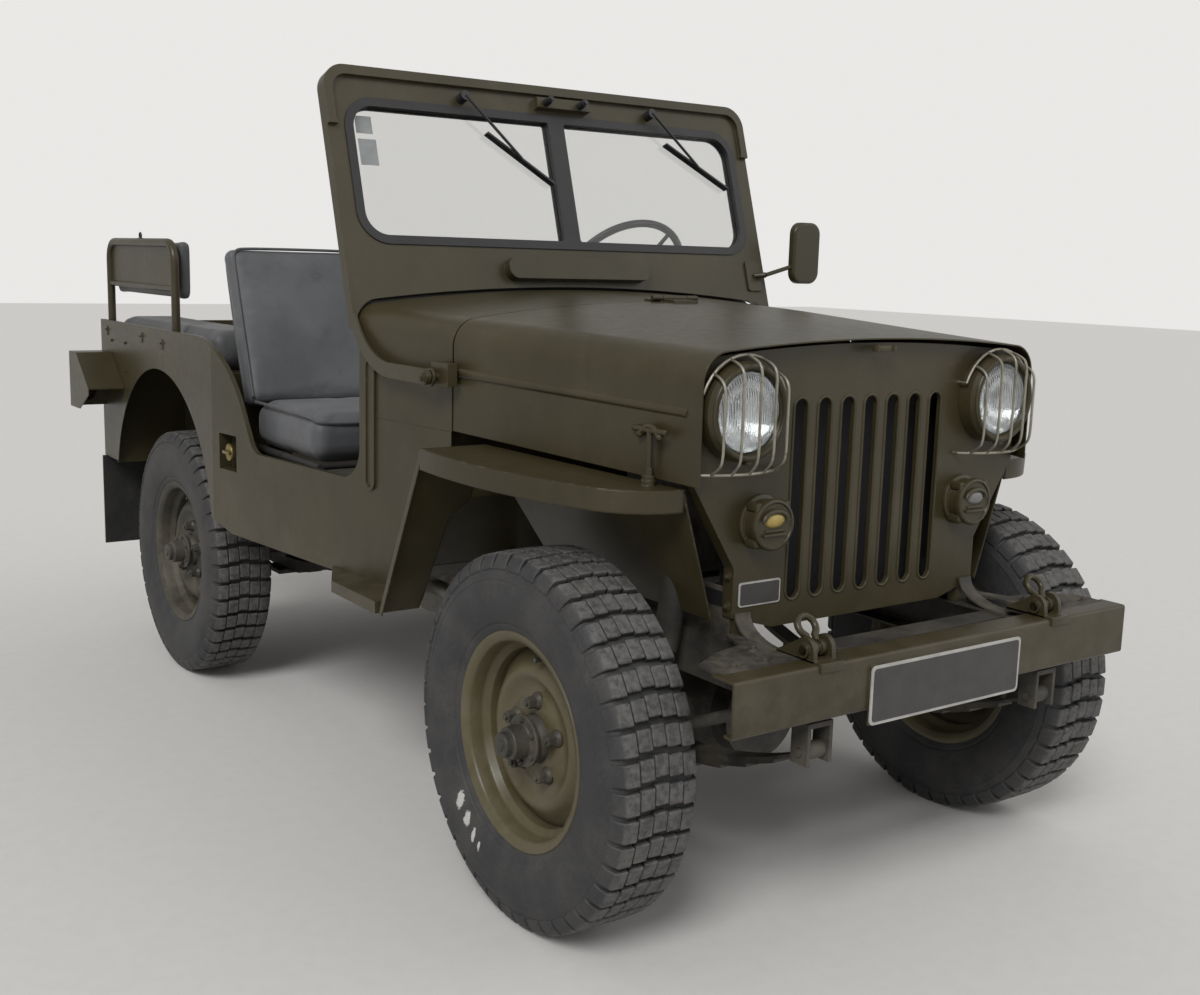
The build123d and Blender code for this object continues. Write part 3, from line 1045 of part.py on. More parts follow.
# Steps below the doors
STEP_Z = 550.0
with BuildPart() as steps:
    for inset, low, high in ((0.0, STEP_Z - 28, STEP_Z), (SHEET, STEP_Z - 40, STEP_Z - SHEET)):
        front_y, rear_y = FRONT_AXLE_Y + 546, FRONT_AXLE_Y + 926
        with BuildSketch(Plane.XY.offset(low)):
            with BuildLine():
                Polyline((side_x(front_y) + SEAT_GAP + inset, front_y + inset),
                         (730 - inset, front_y + inset), (730 - inset, COWL_REAR_Y - inset / 2),
                         (side_x(rear_y) + SEAT_GAP + inset, rear_y - inset * 2), close=True)
            make_face()
        extrude(amount=high - low, mode=Mode.SUBTRACT if inset else Mode.ADD)
    mirror(about=Plane.YZ)
save(steps, "steps")

# Windscreen: one frame with a saddle-shaped foot over the cowl, arms and pivots
SCREEN_HALF = 660.0
SCREEN_HEIGHT = 652.0
SCREEN_CORNER_R = 58.0
SCREEN_CLEAR = 6.5
PANE_INNER_X = 25.0
PANE_OUTER_X = 593.0
PANE_LOW = 231.0
PANE_HIGH = 555.0
PANE_CORNER_R = 58.0
GASKET_WIDTH = 22.0
RAIL_PROUD = 12.0
ARM_INNER_X = 654.0
GLASS_THICK = 5.0
screen_plane = Plane(origin=(0, SCREEN_FOOT_Y, SCREEN_FOOT_Z), x_dir=(1, 0, 0),
                     z_dir=(0, -cos(SCREEN_LEAN), sin(SCREEN_LEAN)))
pane_middle = ((PANE_INNER_X + PANE_OUTER_X) / 2, (PANE_LOW + PANE_HIGH) / 2)


def pane_outline(grow):
    """Both panes, rounded at their outer corners, grown or shrunk all round."""
    with BuildSketch(mode=Mode.PRIVATE) as outline:
        with Locations(pane_middle):
            Rectangle(PANE_OUTER_X - PANE_INNER_X, PANE_HIGH - PANE_LOW)
        fillet(outline.vertices().sort_by(Axis.X)[-2:], PANE_CORNER_R)
        fillet(outline.vertices().sort_by(Axis.X)[:2], 6)
        if grow:
            offset(amount=grow, mode=Mode.REPLACE)
        mirror(about=Plane.YZ)
    return outline.sketch


def opening_outline(grow):
    """The one opening that holds both panes."""
    width, height = 2 * (PANE_OUTER_X + grow), PANE_HIGH - PANE_LOW + 2 * grow
    with BuildSketch(mode=Mode.PRIVATE) as outline:
        with Locations((0, pane_middle[1])):
            RectangleRounded(width, height, PANE_CORNER_R + grow)
    return outline.sketch


with BuildPart() as windscreen_frame:
    with BuildSketch(screen_plane) as outline:
        with Locations((0, (SCREEN_HEIGHT - 20) / 2)):
            Rectangle(2 * SCREEN_HALF, SCREEN_HEIGHT + 20)
        fillet(outline.vertices().sort_by(Axis.Y)[-2:], SCREEN_CORNER_R)
    extrude(amount=-SCREEN_DEPTH)
    with BuildSketch(screen_plane) as rail:
        with Locations((0, SCREEN_HEIGHT - 75)):
            Rectangle(2 * SCREEN_HALF, 150)
        fillet(rail.vertices().sort_by(Axis.Y)[-2:], SCREEN_CORNER_R)
        with Locations((0, SCREEN_HEIGHT - 99)):
            RectangleRounded(2 * SCREEN_HALF - 44, 150, 40, mode=Mode.SUBTRACT)
    extrude(amount=RAIL_PROUD)
    with BuildSketch(screen_plane):
        add(opening_outline(GASKET_WIDTH / 2))
    extrude(amount=-SCREEN_DEPTH - 1, both=True, mode=Mode.SUBTRACT)
    with BuildSketch(screen_plane):
        with Locations((0, pane_middle[1])):
            Rectangle(2 * (PANE_INNER_X - GASKET_WIDTH / 2), PANE_HIGH - PANE_LOW + 2 * GASKET_WIDTH)
    extrude(amount=-SCREEN_DEPTH)
    saddle = roof_outline(COWL_REAR_Y + 30, side_x(COWL_REAR_Y + 30), SEAM_Z,
                          COWL_SHOULDER_REAR_Z, COWL_CROWN_REAR_Z, -SCREEN_CLEAR)
    extrude(saddle, amount=150, both=True, mode=Mode.SUBTRACT)
    block((-SCREEN_HALF - 1, SCREEN_HALF + 1), (COWL_REAR_Y - 60, COWL_REAR_Y + 90),
          (SEAM_Z, SCREEN_FOOT_Z - 2), mode=Mode.SUBTRACT)
    with BuildSketch(screen_plane):
        with Locations((0, 151)):
            RectangleRounded(446, 58, 26)
    extrude(amount=28)
    with BuildSketch(screen_plane):
        with Locations((22, 602)):
            Rectangle(166, 28)
    extrude(amount=24)
    for side in (-1, 1):
        arm_x = ARM_INNER_X if side > 0 else -SCREEN_HALF
        with BuildSketch(Plane.YZ.offset(arm_x)):
            with BuildLine():
                Line((PIVOT_Y, 1083), (FRONT_AXLE_Y + 605, 1083))
                ThreePointArc((FRONT_AXLE_Y + 605, 1083), (FRONT_AXLE_Y + 722, 1112),
                              (FRONT_AXLE_Y + 797, 1186))
                Line((FRONT_AXLE_Y + 797, 1186), (FRONT_AXLE_Y + 812, 1186))
                Line((FRONT_AXLE_Y + 812, 1186), (FRONT_AXLE_Y + 812, 1150))
                ThreePointArc((FRONT_AXLE_Y + 812, 1150), (FRONT_AXLE_Y + 728, 1076),
                              (FRONT_AXLE_Y + 611, 1048))
                Line((FRONT_AXLE_Y + 611, 1048), (PIVOT_Y, 1048))
                Line((PIVOT_Y, 1048), (PIVOT_Y, 1083))
            make_face()
            with Locations((PIVOT_Y, PIVOT_Z)):
                Circle(20)
                Circle(PIVOT_R + SEAT_GAP, mode=Mode.SUBTRACT)
        extrude(amount=6)
save(windscreen_frame, "windscreen_frame")

with BuildPart() as windscreen_gasket:
    with BuildSketch(screen_plane.offset(SEAT_GAP)):
        add(opening_outline(GASKET_WIDTH))
        add(pane_outline(0.0), mode=Mode.SUBTRACT)
    extrude(amount=3.5)
    with BuildSketch(screen_plane.offset(SEAT_GAP)):
        add(opening_outline(GASKET_WIDTH / 2 - SEAT_GAP))
        with Locations((0, pane_middle[1])):
            Rectangle(2 * (PANE_INNER_X - GASKET_WIDTH / 2 + SEAT_GAP), 500, mode=Mode.SUBTRACT)
        add(pane_outline(0.0), mode=Mode.SUBTRACT)
    extrude(amount=-SCREEN_DEPTH - SEAT_GAP)
    with BuildSketch(screen_plane.offset(-10 + SEAT_GAP)):
        add(pane_outline(5.0 + SEAT_GAP))
    extrude(amount=-GLASS_THICK - 2 * SEAT_GAP, mode=Mode.SUBTRACT)
save(windscreen_gasket, "windscreen_gasket")

with BuildPart() as windscreen_glass:
    with BuildSketch(screen_plane.offset(-10)):
        add(pane_outline(5.0))
    extrude(amount=-GLASS_THICK)
save(windscreen_glass, "windscreen_glass")

WIPERS = (
    # pivot, blade top end, blade low end, each as x and distance up the frame
    ((-281, 597), (-219, 512), (-35, 386)),
    ((315, 601), (365, 524), (568, 405)),
)
with BuildPart() as wipers:
    for pivot, high, low in WIPERS:
        start = screen_plane.from_local_coords(Vector(pivot[0], pivot[1], SEAT_GAP))
        face = screen_plane.from_local_coords(Vector(pivot[0], pivot[1], 30))
        middle = Vector((high[0] + low[0]) / 2, (high[1] + low[1]) / 2, 9)
        rod(start, face, 13)
        rod(face, screen_plane.from_local_coords(middle), 4)
        run = Vector(low[0] - high[0], low[1] - high[1], 0)
        across_run = Vector(-run.Y, run.X, 0).normalized() * 2.5
        with BuildSketch(screen_plane.offset(-10 + SEAT_GAP)):
            with BuildLine():
                Polyline((high[0] - across_run.X, high[1] - across_run.Y),
                         (low[0] - across_run.X, low[1] - across_run.Y),
                         (low[0] + across_run.X, low[1] + across_run.Y),
                         (high[0] + across_run.X, high[1] + across_run.Y), close=True)
            make_face()
        extrude(amount=20)
save(wipers, "wipers")

# Mirror on the driver's side, carried by the windscreen frame
with BuildPart() as mirror_head:
    base = screen_plane.from_local_coords(Vector(618, 147, 6))
    with BuildSketch(screen_plane.offset(SEAT_GAP)):
        with Locations((616, 147)):
            RectangleRounded(52, 88, 8)
    extrude(amount=6)
    elbow = base + Vector(22, -24, 4)
    head = Vector(771, COWL_REAR_Y + 4, 1336)
    rod(base, elbow, 8)
    rod(elbow, head, 6)
    with BuildSketch(Plane.XZ.offset(-COWL_REAR_Y - 20)):
        with Locations((771, 1361)):
            RectangleRounded(104, 176, 34)
    extrude(amount=22)
    fillet(mirror_head.edges().filter_by_position(Axis.Y, COWL_REAR_Y - 2.5, COWL_REAR_Y - 1.5), 9)
    with BuildSketch(Plane.XZ.offset(-COWL_REAR_Y - 21)):
        with Locations((771, 1361)):
            RectangleRounded(96, 168, 30)
    extrude(amount=3, mode=Mode.SUBTRACT)
save(mirror_head, "mirror")

with BuildPart() as mirror_glass:
    with BuildSketch(Plane.XZ.offset(-COWL_REAR_Y - 20)):
        with Locations((771, 1361)):
            RectangleRounded(95.4, 167.4, 29.7)
    extrude(amount=1.7)
save(mirror_glass, "mirror_glass")

# Steering wheel and column
WHEEL_RIM_R = 204.0
WHEEL_WIRE_R = 11.0
SHAFT_R = 11.0
column_top = WHEEL_CENTRE - COLUMN_DIR * 70
with BuildPart() as steering_column:
    rod(WHEEL_CENTRE - COLUMN_DIR * 1090, column_top, COLUMN_R)
    rod(column_top - COLUMN_DIR * 92, column_top + COLUMN_DIR, SHAFT_R + 0.5, mode=Mode.SUBTRACT)
    block((RAIL_OUTER_X + SEAT_GAP, 380), (column_foot.Y + 60, column_foot.Y + 175), (505, 648))
save(steering_column, "steering_column")

with BuildPart() as steering_wheel:
    with Locations(Plane(origin=WHEEL_CENTRE, z_dir=COLUMN_DIR)):
        Torus(WHEEL_RIM_R, WHEEL_WIRE_R)
        with PolarLocations(0, 3, start_angle=-90):
            with Locations(Location((WHEEL_RIM_R / 2, 0, -14), (0, 83, 0))):
                Cylinder(6, WHEEL_RIM_R - 4)
    rod(WHEEL_CENTRE - COLUMN_DIR * 52, WHEEL_CENTRE - COLUMN_DIR * 8, 28)
    rod(WHEEL_CENTRE - COLUMN_DIR * 158, WHEEL_CENTRE - COLUMN_DIR * 40, SHAFT_R)
save(steering_wheel, "steering_wheel")

with BuildPart() as controls:
    for pad_x in (190, 272, 440):
        rod((pad_x, FRONT_AXLE_Y + 586, 644.2), (pad_x, FRONT_AXLE_Y + 650, 735), 8)
        block((pad_x - 32, pad_x + 32), (FRONT_AXLE_Y + 646, FRONT_AXLE_Y + 654), (712, 772))
    for lever_x, lean_x, top_z in ((0, 40, 1010), (-60, -70, 900), (-95, -110, 890)):
        rod((lever_x, FRONT_AXLE_Y + 790, TUNNEL_TOP_Z + 6), (lean_x, FRONT_AXLE_Y + 880, top_z), 8)
        rod((lever_x, FRONT_AXLE_Y + 790, TUNNEL_TOP_Z + SEAT_GAP),
            (lever_x, FRONT_AXLE_Y + 790, TUNNEL_TOP_Z + 16), 18)
        with Locations((lean_x, FRONT_AXLE_Y + 880, top_z)):
            Sphere(19)
save(controls, "controls")

# Front seats: tube frames, cushions and leaning backs
SEAT_INNER_X = 200.0
SEAT_OUTER_X = 650.0
SEAT_FRONT_Y = FRONT_AXLE_Y + 1046.0
SEAT_REAR_Y = FRONT_AXLE_Y + 1536.0
SEAT_LOW_Z = 790.0
SEAT_TOP_Z = 905.0
BACK_FOOT = (FRONT_AXLE_Y + 1486.0, 908.0)
BACK_HEAD = (FRONT_AXLE_Y + 1649.0, 1345.0)
BACK_THICK = 58.0
TUBE_R = 11.0
back_run = Vector(0, BACK_HEAD[0] - BACK_FOOT[0], BACK_HEAD[1] - BACK_FOOT[1])
back_lean = atan2(back_run.Y, back_run.Z)

with BuildPart() as seat_frames:
    top_z = SEAT_LOW_Z - TUBE_R - SEAT_GAP
    for tube_x in (SEAT_INNER_X + 14, SEAT_OUTER_X - 14):
        rod((tube_x, SEAT_FRONT_Y + 6, top_z), (tube_x, SEAT_REAR_Y - 30, top_z), TUBE_R)
        for leg_y in (SEAT_FRONT_Y + 30, SEAT_REAR_Y - 74):
            rod((tube_x, leg_y, FLOOR_TOP_Z + SEAT_GAP), (tube_x, leg_y, top_z), TUBE_R - 1)
            rod((tube_x, leg_y, FLOOR_TOP_Z + SEAT_GAP), (tube_x, leg_y, FLOOR_TOP_Z + 5), 15)
    for bar_y in (SEAT_FRONT_Y + 30, SEAT_REAR_Y - 74):
        rod((SEAT_INNER_X + 12, bar_y, top_z), (SEAT_OUTER_X - 12, bar_y, top_z), TUBE_R - 2)
    for back_x in (SEAT_INNER_X + 14, WHEELHOUSE_INNER_X - 20):
        bend = Vector(back_x, BACK_FOOT[0] + 84.3, BACK_FOOT[1] + 22)
        rod((back_x, SEAT_REAR_Y - 74, top_z), (back_x, SEAT_REAR_Y - 32, top_z), TUBE_R - 1)
        rod((back_x, SEAT_REAR_Y - 39.7, top_z), bend, TUBE_R - 1.5)
        rod(bend, (back_x, BACK_FOOT[0] + 194, BACK_FOOT[1] + 322), TUBE_R - 1.5)
        with Locations(Location(bend)):
            Sphere(TUBE_R - 1)
    mirror(about=Plane.YZ)
save(seat_frames, "seat_frames")

with BuildPart() as seat_cushions:
    block((SEAT_INNER_X, SEAT_OUTER_X), (SEAT_FRONT_Y, SEAT_REAR_Y - 60), (SEAT_LOW_Z, SEAT_TOP_Z))
    fillet(seat_cushions.edges().filter_by(Axis.X), 40)
    mirror(about=Plane.YZ)
save(seat_cushions, "seat_cushions")

with BuildPart() as seat_backs:
    back_plane = Plane(origin=(SEAT_INNER_X, BACK_FOOT[0], BACK_FOOT[1]), x_dir=(0, cos(back_lean), -sin(back_lean)),
                       z_dir=(1, 0, 0))
    with BuildSketch(back_plane):
        with Locations((BACK_THICK / 2, back_run.length / 2)):
            RectangleRounded(BACK_THICK, back_run.length, 24)
    extrude(amount=SEAT_OUTER_X - SEAT_INNER_X)
    mirror(about=Plane.YZ)
save(seat_backs, "seat_backs")

# Rear benches over the wheelhouses, with backrests on flat posts
BENCH_FRONT_Y = REAR_AXLE_Y - 366.0
BENCH_REAR_Y = REAR_AXLE_Y + 584.0
POST_X = 700.0
with BuildPart() as bench_cushions:
    block((470, 690), (BENCH_FRONT_Y, BENCH_REAR_Y), (WHEELHOUSE_TOP_Z + SEAT_GAP, 1090))
    fillet(bench_cushions.edges().filter_by(Axis.Y), 30)
    mirror(about=Plane.YZ)
save(bench_cushions, "bench_cushions")

with BuildPart() as bench_backs:
    for post_y in (REAR_AXLE_Y - 66, REAR_AXLE_Y + 579):
        block((POST_X, POST_X + 12), (post_y - 14, post_y + 14), (WHEELHOUSE_TOP_Z + SEAT_GAP, 1366))
    block((POST_X, POST_X + 12), (REAR_AXLE_Y - 66, REAR_AXLE_Y + 579), (1338, 1366))
    block((POST_X, POST_X + 12), (REAR_AXLE_Y - 66, REAR_AXLE_Y + 579), (1186, 1206))
    block((POST_X + 4, POST_X + 7), (REAR_AXLE_Y - 66, REAR_AXLE_Y + 579), (1186, 1366))
    mirror(about=Plane.YZ)
save(bench_backs, "bench_backs")

with BuildPart() as bench_back_pads:
    block((POST_X - 50, POST_X - SEAT_GAP), (REAR_AXLE_Y - 60, REAR_AXLE_Y + 573), (1180, 1360))
    fillet(bench_back_pads.edges().filter_by(Axis.Y), 20)
    mirror(about=Plane.YZ)
save(bench_back_pads, "bench_back_pads")

# Rear lamp boxes, lamps, mudflaps and the towing hook
BOX_TOP_Z = 975.0
BOX_REAR_Y = REAR_AXLE_Y + 594.0
BOX_OUTLINE = ((-222, 866), (-88, BOX_TOP_Z), (0, BOX_TOP_Z), (0, 790), (-110, 790), (-222, 846))
LAMP_BOX_HALF = 850.0
with BuildPart() as rear_lamp_boxes:
    outline = [(BOX_REAR_Y + y, z) for y, z in BOX_OUTLINE]
    along_side(TUB_HALF + SEAT_GAP, LAMP_BOX_HALF - TUB_HALF - SEAT_GAP, outline)
    inside = [(BOX_REAR_Y - 218, 862), (BOX_REAR_Y - 88, BOX_TOP_Z - SHEET),
              (BOX_REAR_Y - SHEET, BOX_TOP_Z - SHEET), (BOX_REAR_Y - SHEET, 700),
              (BOX_REAR_Y - 300, 700), (BOX_REAR_Y - 300, 862)]
    along_side(TUB_HALF - 1, LAMP_BOX_HALF - TUB_HALF - SHEET + 1, inside, mode=Mode.SUBTRACT)
    mirror(about=Plane.YZ)
    for side in (-1, 1):
        for lamp_z, radius in ((915.0, 42.0), (832.0, 30.0)):
            middle = (side * 792, BOX_REAR_Y - 1, lamp_z)
            rod(middle, (middle[0], middle[1] + 26, lamp_z), radius)
            rod((middle[0], middle[1] + 22, lamp_z), (middle[0], middle[1] + 27, lamp_z),
                radius - 5, mode=Mode.SUBTRACT)
            with Locations((middle[0], middle[1] + 18, lamp_z)):
                Sphere(12)
save(rear_lamp_boxes, "rear_lamp_boxes")

with BuildPart() as mudflaps:
    block((500, 745), (REAR_AXLE_Y + 608, REAR_AXLE_Y + 616), (300, REAR_SILL_Z - SEAT_GAP))
    mirror(about=Plane.YZ)
save(mudflaps, "mudflaps")

HOOK_Z = 552.0
with BuildPart() as towing_hook:
    block((-60, 60), (TUB_REAR_Y + SEAT_GAP, TUB_REAR_Y + 12), (HOOK_Z - 32, HOOK_Z + 34))
    rod((0, TUB_REAR_Y + 10, HOOK_Z + 5), (0, TUB_REAR_Y + 50, HOOK_Z + 5), 22)
    with BuildSketch(Plane.YZ.offset(-16)):
        with BuildLine():
            Polyline((TUB_REAR_Y + 40, HOOK_Z - 20), (TUB_REAR_Y + 90, HOOK_Z - 26),
                     (TAIL_Y, HOOK_Z - 6), (TAIL_Y, HOOK_Z + 30), (TAIL_Y - 22, HOOK_Z + 40),
                     (TAIL_Y - 24, HOOK_Z + 6), (TUB_REAR_Y + 72, HOOK_Z + 2),
                     (TUB_REAR_Y + 70, HOOK_Z + 60), (TUB_REAR_Y + 40, HOOK_Z + 50), close=True)
        make_face()
    extrude(amount=32)
save(towing_hook, "towing_hook")
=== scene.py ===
"""Looks for the open army 4x4 car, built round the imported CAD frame."""

from __future__ import annotations

import logging
import math
from dataclasses import dataclass
from enum import Enum
from typing import Iterable, Sequence

import bmesh
import bpy
from bmesh.types import BMEdge, BMesh, BMVert
from bpy.types import Material, Node, NodeSocket, Object
from mathutils import Matrix, Vector


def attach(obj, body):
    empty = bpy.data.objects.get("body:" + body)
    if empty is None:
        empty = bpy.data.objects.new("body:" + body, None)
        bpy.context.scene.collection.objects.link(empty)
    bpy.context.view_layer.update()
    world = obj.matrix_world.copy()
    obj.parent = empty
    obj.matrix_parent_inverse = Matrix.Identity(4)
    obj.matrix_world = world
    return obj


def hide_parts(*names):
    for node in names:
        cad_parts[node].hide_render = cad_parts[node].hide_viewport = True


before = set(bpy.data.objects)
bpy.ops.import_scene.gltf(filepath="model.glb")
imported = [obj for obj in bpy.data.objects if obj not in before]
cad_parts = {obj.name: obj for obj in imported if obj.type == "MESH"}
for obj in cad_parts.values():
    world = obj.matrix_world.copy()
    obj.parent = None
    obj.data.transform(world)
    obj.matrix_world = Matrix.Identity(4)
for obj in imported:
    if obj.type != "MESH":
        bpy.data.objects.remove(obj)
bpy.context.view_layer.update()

LOG = logging.getLogger("army_car")
Point = Sequence[float]
Colour = tuple[float, float, float]

# Metres, read from the CAD frame
FRONT_AXLE_Y = -1.144
REAR_AXLE_Y = 0.888
HALF_TRACK = 0.614
TYRE_R = 0.380
GRILLE_Y = -1.385
LAMP_X = 0.363
LAMP_Z = 1.052
PLATE_LOW = (-0.229, 0.482)
PLATE_HIGH = (0.199, 0.597)
FORWARD = (0, -1, 0)


class Slot(Enum):
    """The record's material slots."""

    PAINT = "army_green"
    WHEEL = "wheel_paint"
    CHASSIS = "chassis_black"
    STEEL = "dull_steel"
    TYRE = "tyre"
    RUBBER = "black_rubber"
    PLASTIC = "black_plastic"
    LAMP_GLASS = "lamp_glass"
    MIRROR = "mirror"
    SEAT = "seat_fabric"


class Side(Enum):
    """The car's own sides, as the sign of X."""

    RIGHT = -1
    LEFT = 1

    def at(self, across: float, y: float, z: float) -> Vector:
        """A point on this side, at a distance from the car's middle plane."""
        return Vector((self.value * across, y, z))

    def low_x(self, inner: float, outer: float) -> float:
        """The lower X of a stretch between two distances from the middle plane."""
        return min(self.value * inner, self.value * outer)

    def box(self, low: Point, high: Point) -> tuple[Point, Point]:
        """A box's corners on this side, from corners whose X are distances from the middle."""
        near, far = sorted((self.value * low[0], self.value * high[0]))
        return (near, *low[1:]), (far, *high[1:])


# Materials


class Graph:
    """A material's node tree, with short calls for the nodes that the finishes share."""

    def __init__(self, name: str) -> None:
        """Make an empty material with a surface shader.

        Args:
            name: The material's name.
        """
        self.material = bpy.data.materials.new(name)
        self.material.use_nodes = True
        self.tree = self.material.node_tree
        self.tree.nodes.clear()
        output = self.node("ShaderNodeOutputMaterial")
        self.shader = self.node("ShaderNodeBsdfPrincipled")
        self.tree.links.new(self.shader.outputs["BSDF"], output.inputs["Surface"])
        self.where = self.node("ShaderNodeTexCoord").outputs["Object"]

    def node(self, kind: str, **settings: object) -> Node:
        """Add a node and set its properties."""
        made = self.tree.nodes.new(kind)
        for key, value in settings.items():
            setattr(made, key, value)
        return made

    def put(self, socket: NodeSocket, value: object) -> None:
        """Link a socket into another, or set it to a plain value."""
        if isinstance(value, NodeSocket):
            self.tree.links.new(value, socket)
        else:
            socket.default_value = value

    def placed(self, scale: Point = (1, 1, 1), shift: Point = (0, 0, 0)) -> NodeSocket:
        """Object coordinates, scaled and shifted."""
        mapping = self.node("ShaderNodeMapping")
        self.put(mapping.inputs["Vector"], self.where)
        mapping.inputs["Scale"].default_value = scale
        mapping.inputs["Location"].default_value = shift
        return mapping.outputs["Vector"]

    def noise(self, scale: float, detail: float = 4.0, rough: float = 0.55,
              at: NodeSocket | None = None) -> NodeSocket:
        """Noise from 0 to 1 at a scale per metre."""
        made = self.node("ShaderNodeTexNoise")
        self.put(made.inputs["Vector"], at or self.where)
        made.inputs["Scale"].default_value = scale
        made.inputs["Detail"].default_value = detail
        made.inputs["Roughness"].default_value = rough
        return made.outputs["Fac"]

    def math(self, operation: str, first: object, second: object = 0.0,
             clamp: bool = False) -> NodeSocket:
        """One arithmetic step."""
        made = self.node("ShaderNodeMath", operation=operation, use_clamp=clamp)
        self.put(made.inputs[0], first)
        self.put(made.inputs[1], second)
        return made.outputs[0]

    def span(self, value: object, low: float, high: float, to_low: float = 0.0,
             to_high: float = 1.0) -> NodeSocket:
        """Stretch a range of values to another, clamped and smooth."""
        made = self.node("ShaderNodeMapRange", interpolation_type="SMOOTHSTEP")
        self.put(made.inputs["Value"], value)
        for key, number in (("From Min", low), ("From Max", high),
                            ("To Min", to_low), ("To Max", to_high)):
            made.inputs[key].default_value = number
        return made.outputs["Result"]

    def mix(self, share: object, first: object, second: object) -> NodeSocket:
        """Blend two colours."""
        made = self.node("ShaderNodeMix", data_type="RGBA")
        self.put(made.inputs[0], share)
        for socket, value in ((made.inputs[6], first), (made.inputs[7], second)):
            self.put(socket, (*value, 1.0) if isinstance(value, tuple) else value)
        return made.outputs[2]

    def axis(self, name: str) -> NodeSocket:
        """One Object coordinate, X, Y or Z."""
        made = self.node("ShaderNodeSeparateXYZ")
        self.put(made.inputs[0], self.where)
        return made.outputs[name]

    def bump(self, height: object, distance: float, strength: float = 1.0,
             normal: NodeSocket | None = None) -> NodeSocket:
        """A bumped normal."""
        made = self.node("ShaderNodeBump")
        made.inputs["Strength"].default_value = strength
        made.inputs["Distance"].default_value = distance
        self.put(made.inputs["Height"], height)
        if normal is not None:
            self.put(made.inputs["Normal"], normal)
        return made.outputs["Normal"]

    def edge(self, radius: float) -> tuple[NodeSocket, NodeSocket]:
        """A normal rounded over the edges, and how near an edge the point is.

        Args:
            radius: The rounding's radius in metres.

        Returns:
            The rounded normal, and a mask that is 1 on sharp edges.
        """
        rounded = self.node("ShaderNodeBevel", samples=4)
        rounded.inputs["Radius"].default_value = radius
        plain = self.node("ShaderNodeNewGeometry")
        facing = self.node("ShaderNodeVectorMath", operation="DOT_PRODUCT")
        self.put(facing.inputs[0], rounded.outputs[0])
        self.put(facing.inputs[1], plain.outputs["Normal"])
        return rounded.outputs[0], self.span(facing.outputs["Value"], 0.97, 0.80)

    def surface(self, colour: object, rough: object, normal: object | None = None,
                **fixed: object) -> Material:
        """Feed the surface shader and return the material.

        Args:
            colour: Base colour, a socket or three numbers.
            rough: Roughness, a socket or a number.
            normal: A bumped normal.
            **fixed: Other shader inputs, with spaces written as underscores.

        Returns:
            The material.
        """
        inputs = self.shader.inputs
        self.put(inputs["Base Color"], (*colour, 1.0) if isinstance(colour, tuple) else colour)
        self.put(inputs["Roughness"], rough)
        if normal is not None:
            self.put(inputs["Normal"], normal)
        for key, value in fixed.items():
            inputs[key.replace("_", " ")].default_value = value
        return self.material


@dataclass(frozen=True)
class PaintFinish:
    """Brushed-on vehicle paint with mottling, scuffs, worn edges and road dust."""

    name: str
    base: Colour
    faded: Colour
    worn: Colour = (0.15, 0.135, 0.095)
    dust: Colour = (0.17, 0.148, 0.112)
    roughness: float = 0.33
    dust_top: float = 0.75
    dust_share: float = 0.55
    edge_radius: float = 0.002

    def make(self) -> Material:
        """Build the node tree."""
        g = Graph(self.name)
        broad = g.noise(2.3, 3.0)
        fine = g.noise(38.0, 5.0, 0.6)
        streaks = g.noise(6.0, 5.0, 0.65, g.placed((2.0, 2.0, 0.35)))
        rounded, near_edge = g.edge(self.edge_radius)
        colour = g.mix(g.span(broad, 0.38, 0.66), self.base, self.faded)
        dim = tuple(part * 0.72 for part in self.base)
        colour = g.mix(g.math("MULTIPLY", g.span(streaks, 0.52, 0.74), 0.45), colour, dim)
        wear = g.math("MULTIPLY", near_edge, g.span(g.noise(55.0, 4.0), 0.50, 0.72))
        colour = g.mix(g.math("MULTIPLY", wear, 0.75), colour, self.worn)
        scuff = g.math("MULTIPLY", g.span(g.noise(170.0, 2.0), 0.70, 0.78), 0.35)
        colour = g.mix(scuff, colour, self.worn)
        low = g.span(g.axis("Z"), self.dust_top, 0.25)
        dusty = g.math("MULTIPLY", low, g.span(g.noise(11.0, 6.0, 0.7), 0.34, 0.70))
        dusty = g.math("MULTIPLY", dusty, self.dust_share)
        film = g.math("MULTIPLY", g.span(g.noise(4.0, 6.0, 0.7), 0.48, 0.75), 0.10)
        colour = g.mix(g.math("ADD", dusty, film, clamp=True), colour, self.dust)
        rough = g.math("ADD", g.math("MULTIPLY", fine, 0.16), self.roughness - 0.06)
        rough = g.math("ADD", rough, g.math("MULTIPLY", dusty, 0.45), clamp=True)
        skin = g.math("ADD", g.noise(260.0, 2.0), g.math("MULTIPLY", g.noise(9.0, 2.0), 1.6))
        normal = g.bump(skin, 0.0004, 0.5, rounded)
        return g.surface(colour, rough, normal, Specular_IOR_Level=0.38)


@dataclass(frozen=True)
class MetalFinish:
    """Bare or thinly coated metal with stains and rust."""

    name: str
    base: Colour
    stain: Colour
    roughness: float
    metallic: float = 0.85
    stain_share: float = 0.6
    grain: float = 120.0

    def make(self) -> Material:
        """Build the node tree."""
        g = Graph(self.name)
        patches = g.span(g.noise(14.0, 6.0, 0.65), 0.45, 0.70)
        specks = g.span(g.noise(self.grain, 3.0), 0.55, 0.75)
        mask = g.math("MULTIPLY", g.math("MAXIMUM", patches, specks), self.stain_share)
        colour = g.mix(mask, self.base, self.stain)
        rough = g.math("ADD", g.math("MULTIPLY", mask, 0.35), self.roughness, clamp=True)
        rounded, _ = g.edge(0.0012)
        normal = g.bump(g.noise(self.grain, 4.0), 0.0006, 0.5, rounded)
        return g.surface(colour, rough, normal, Metallic=self.metallic)


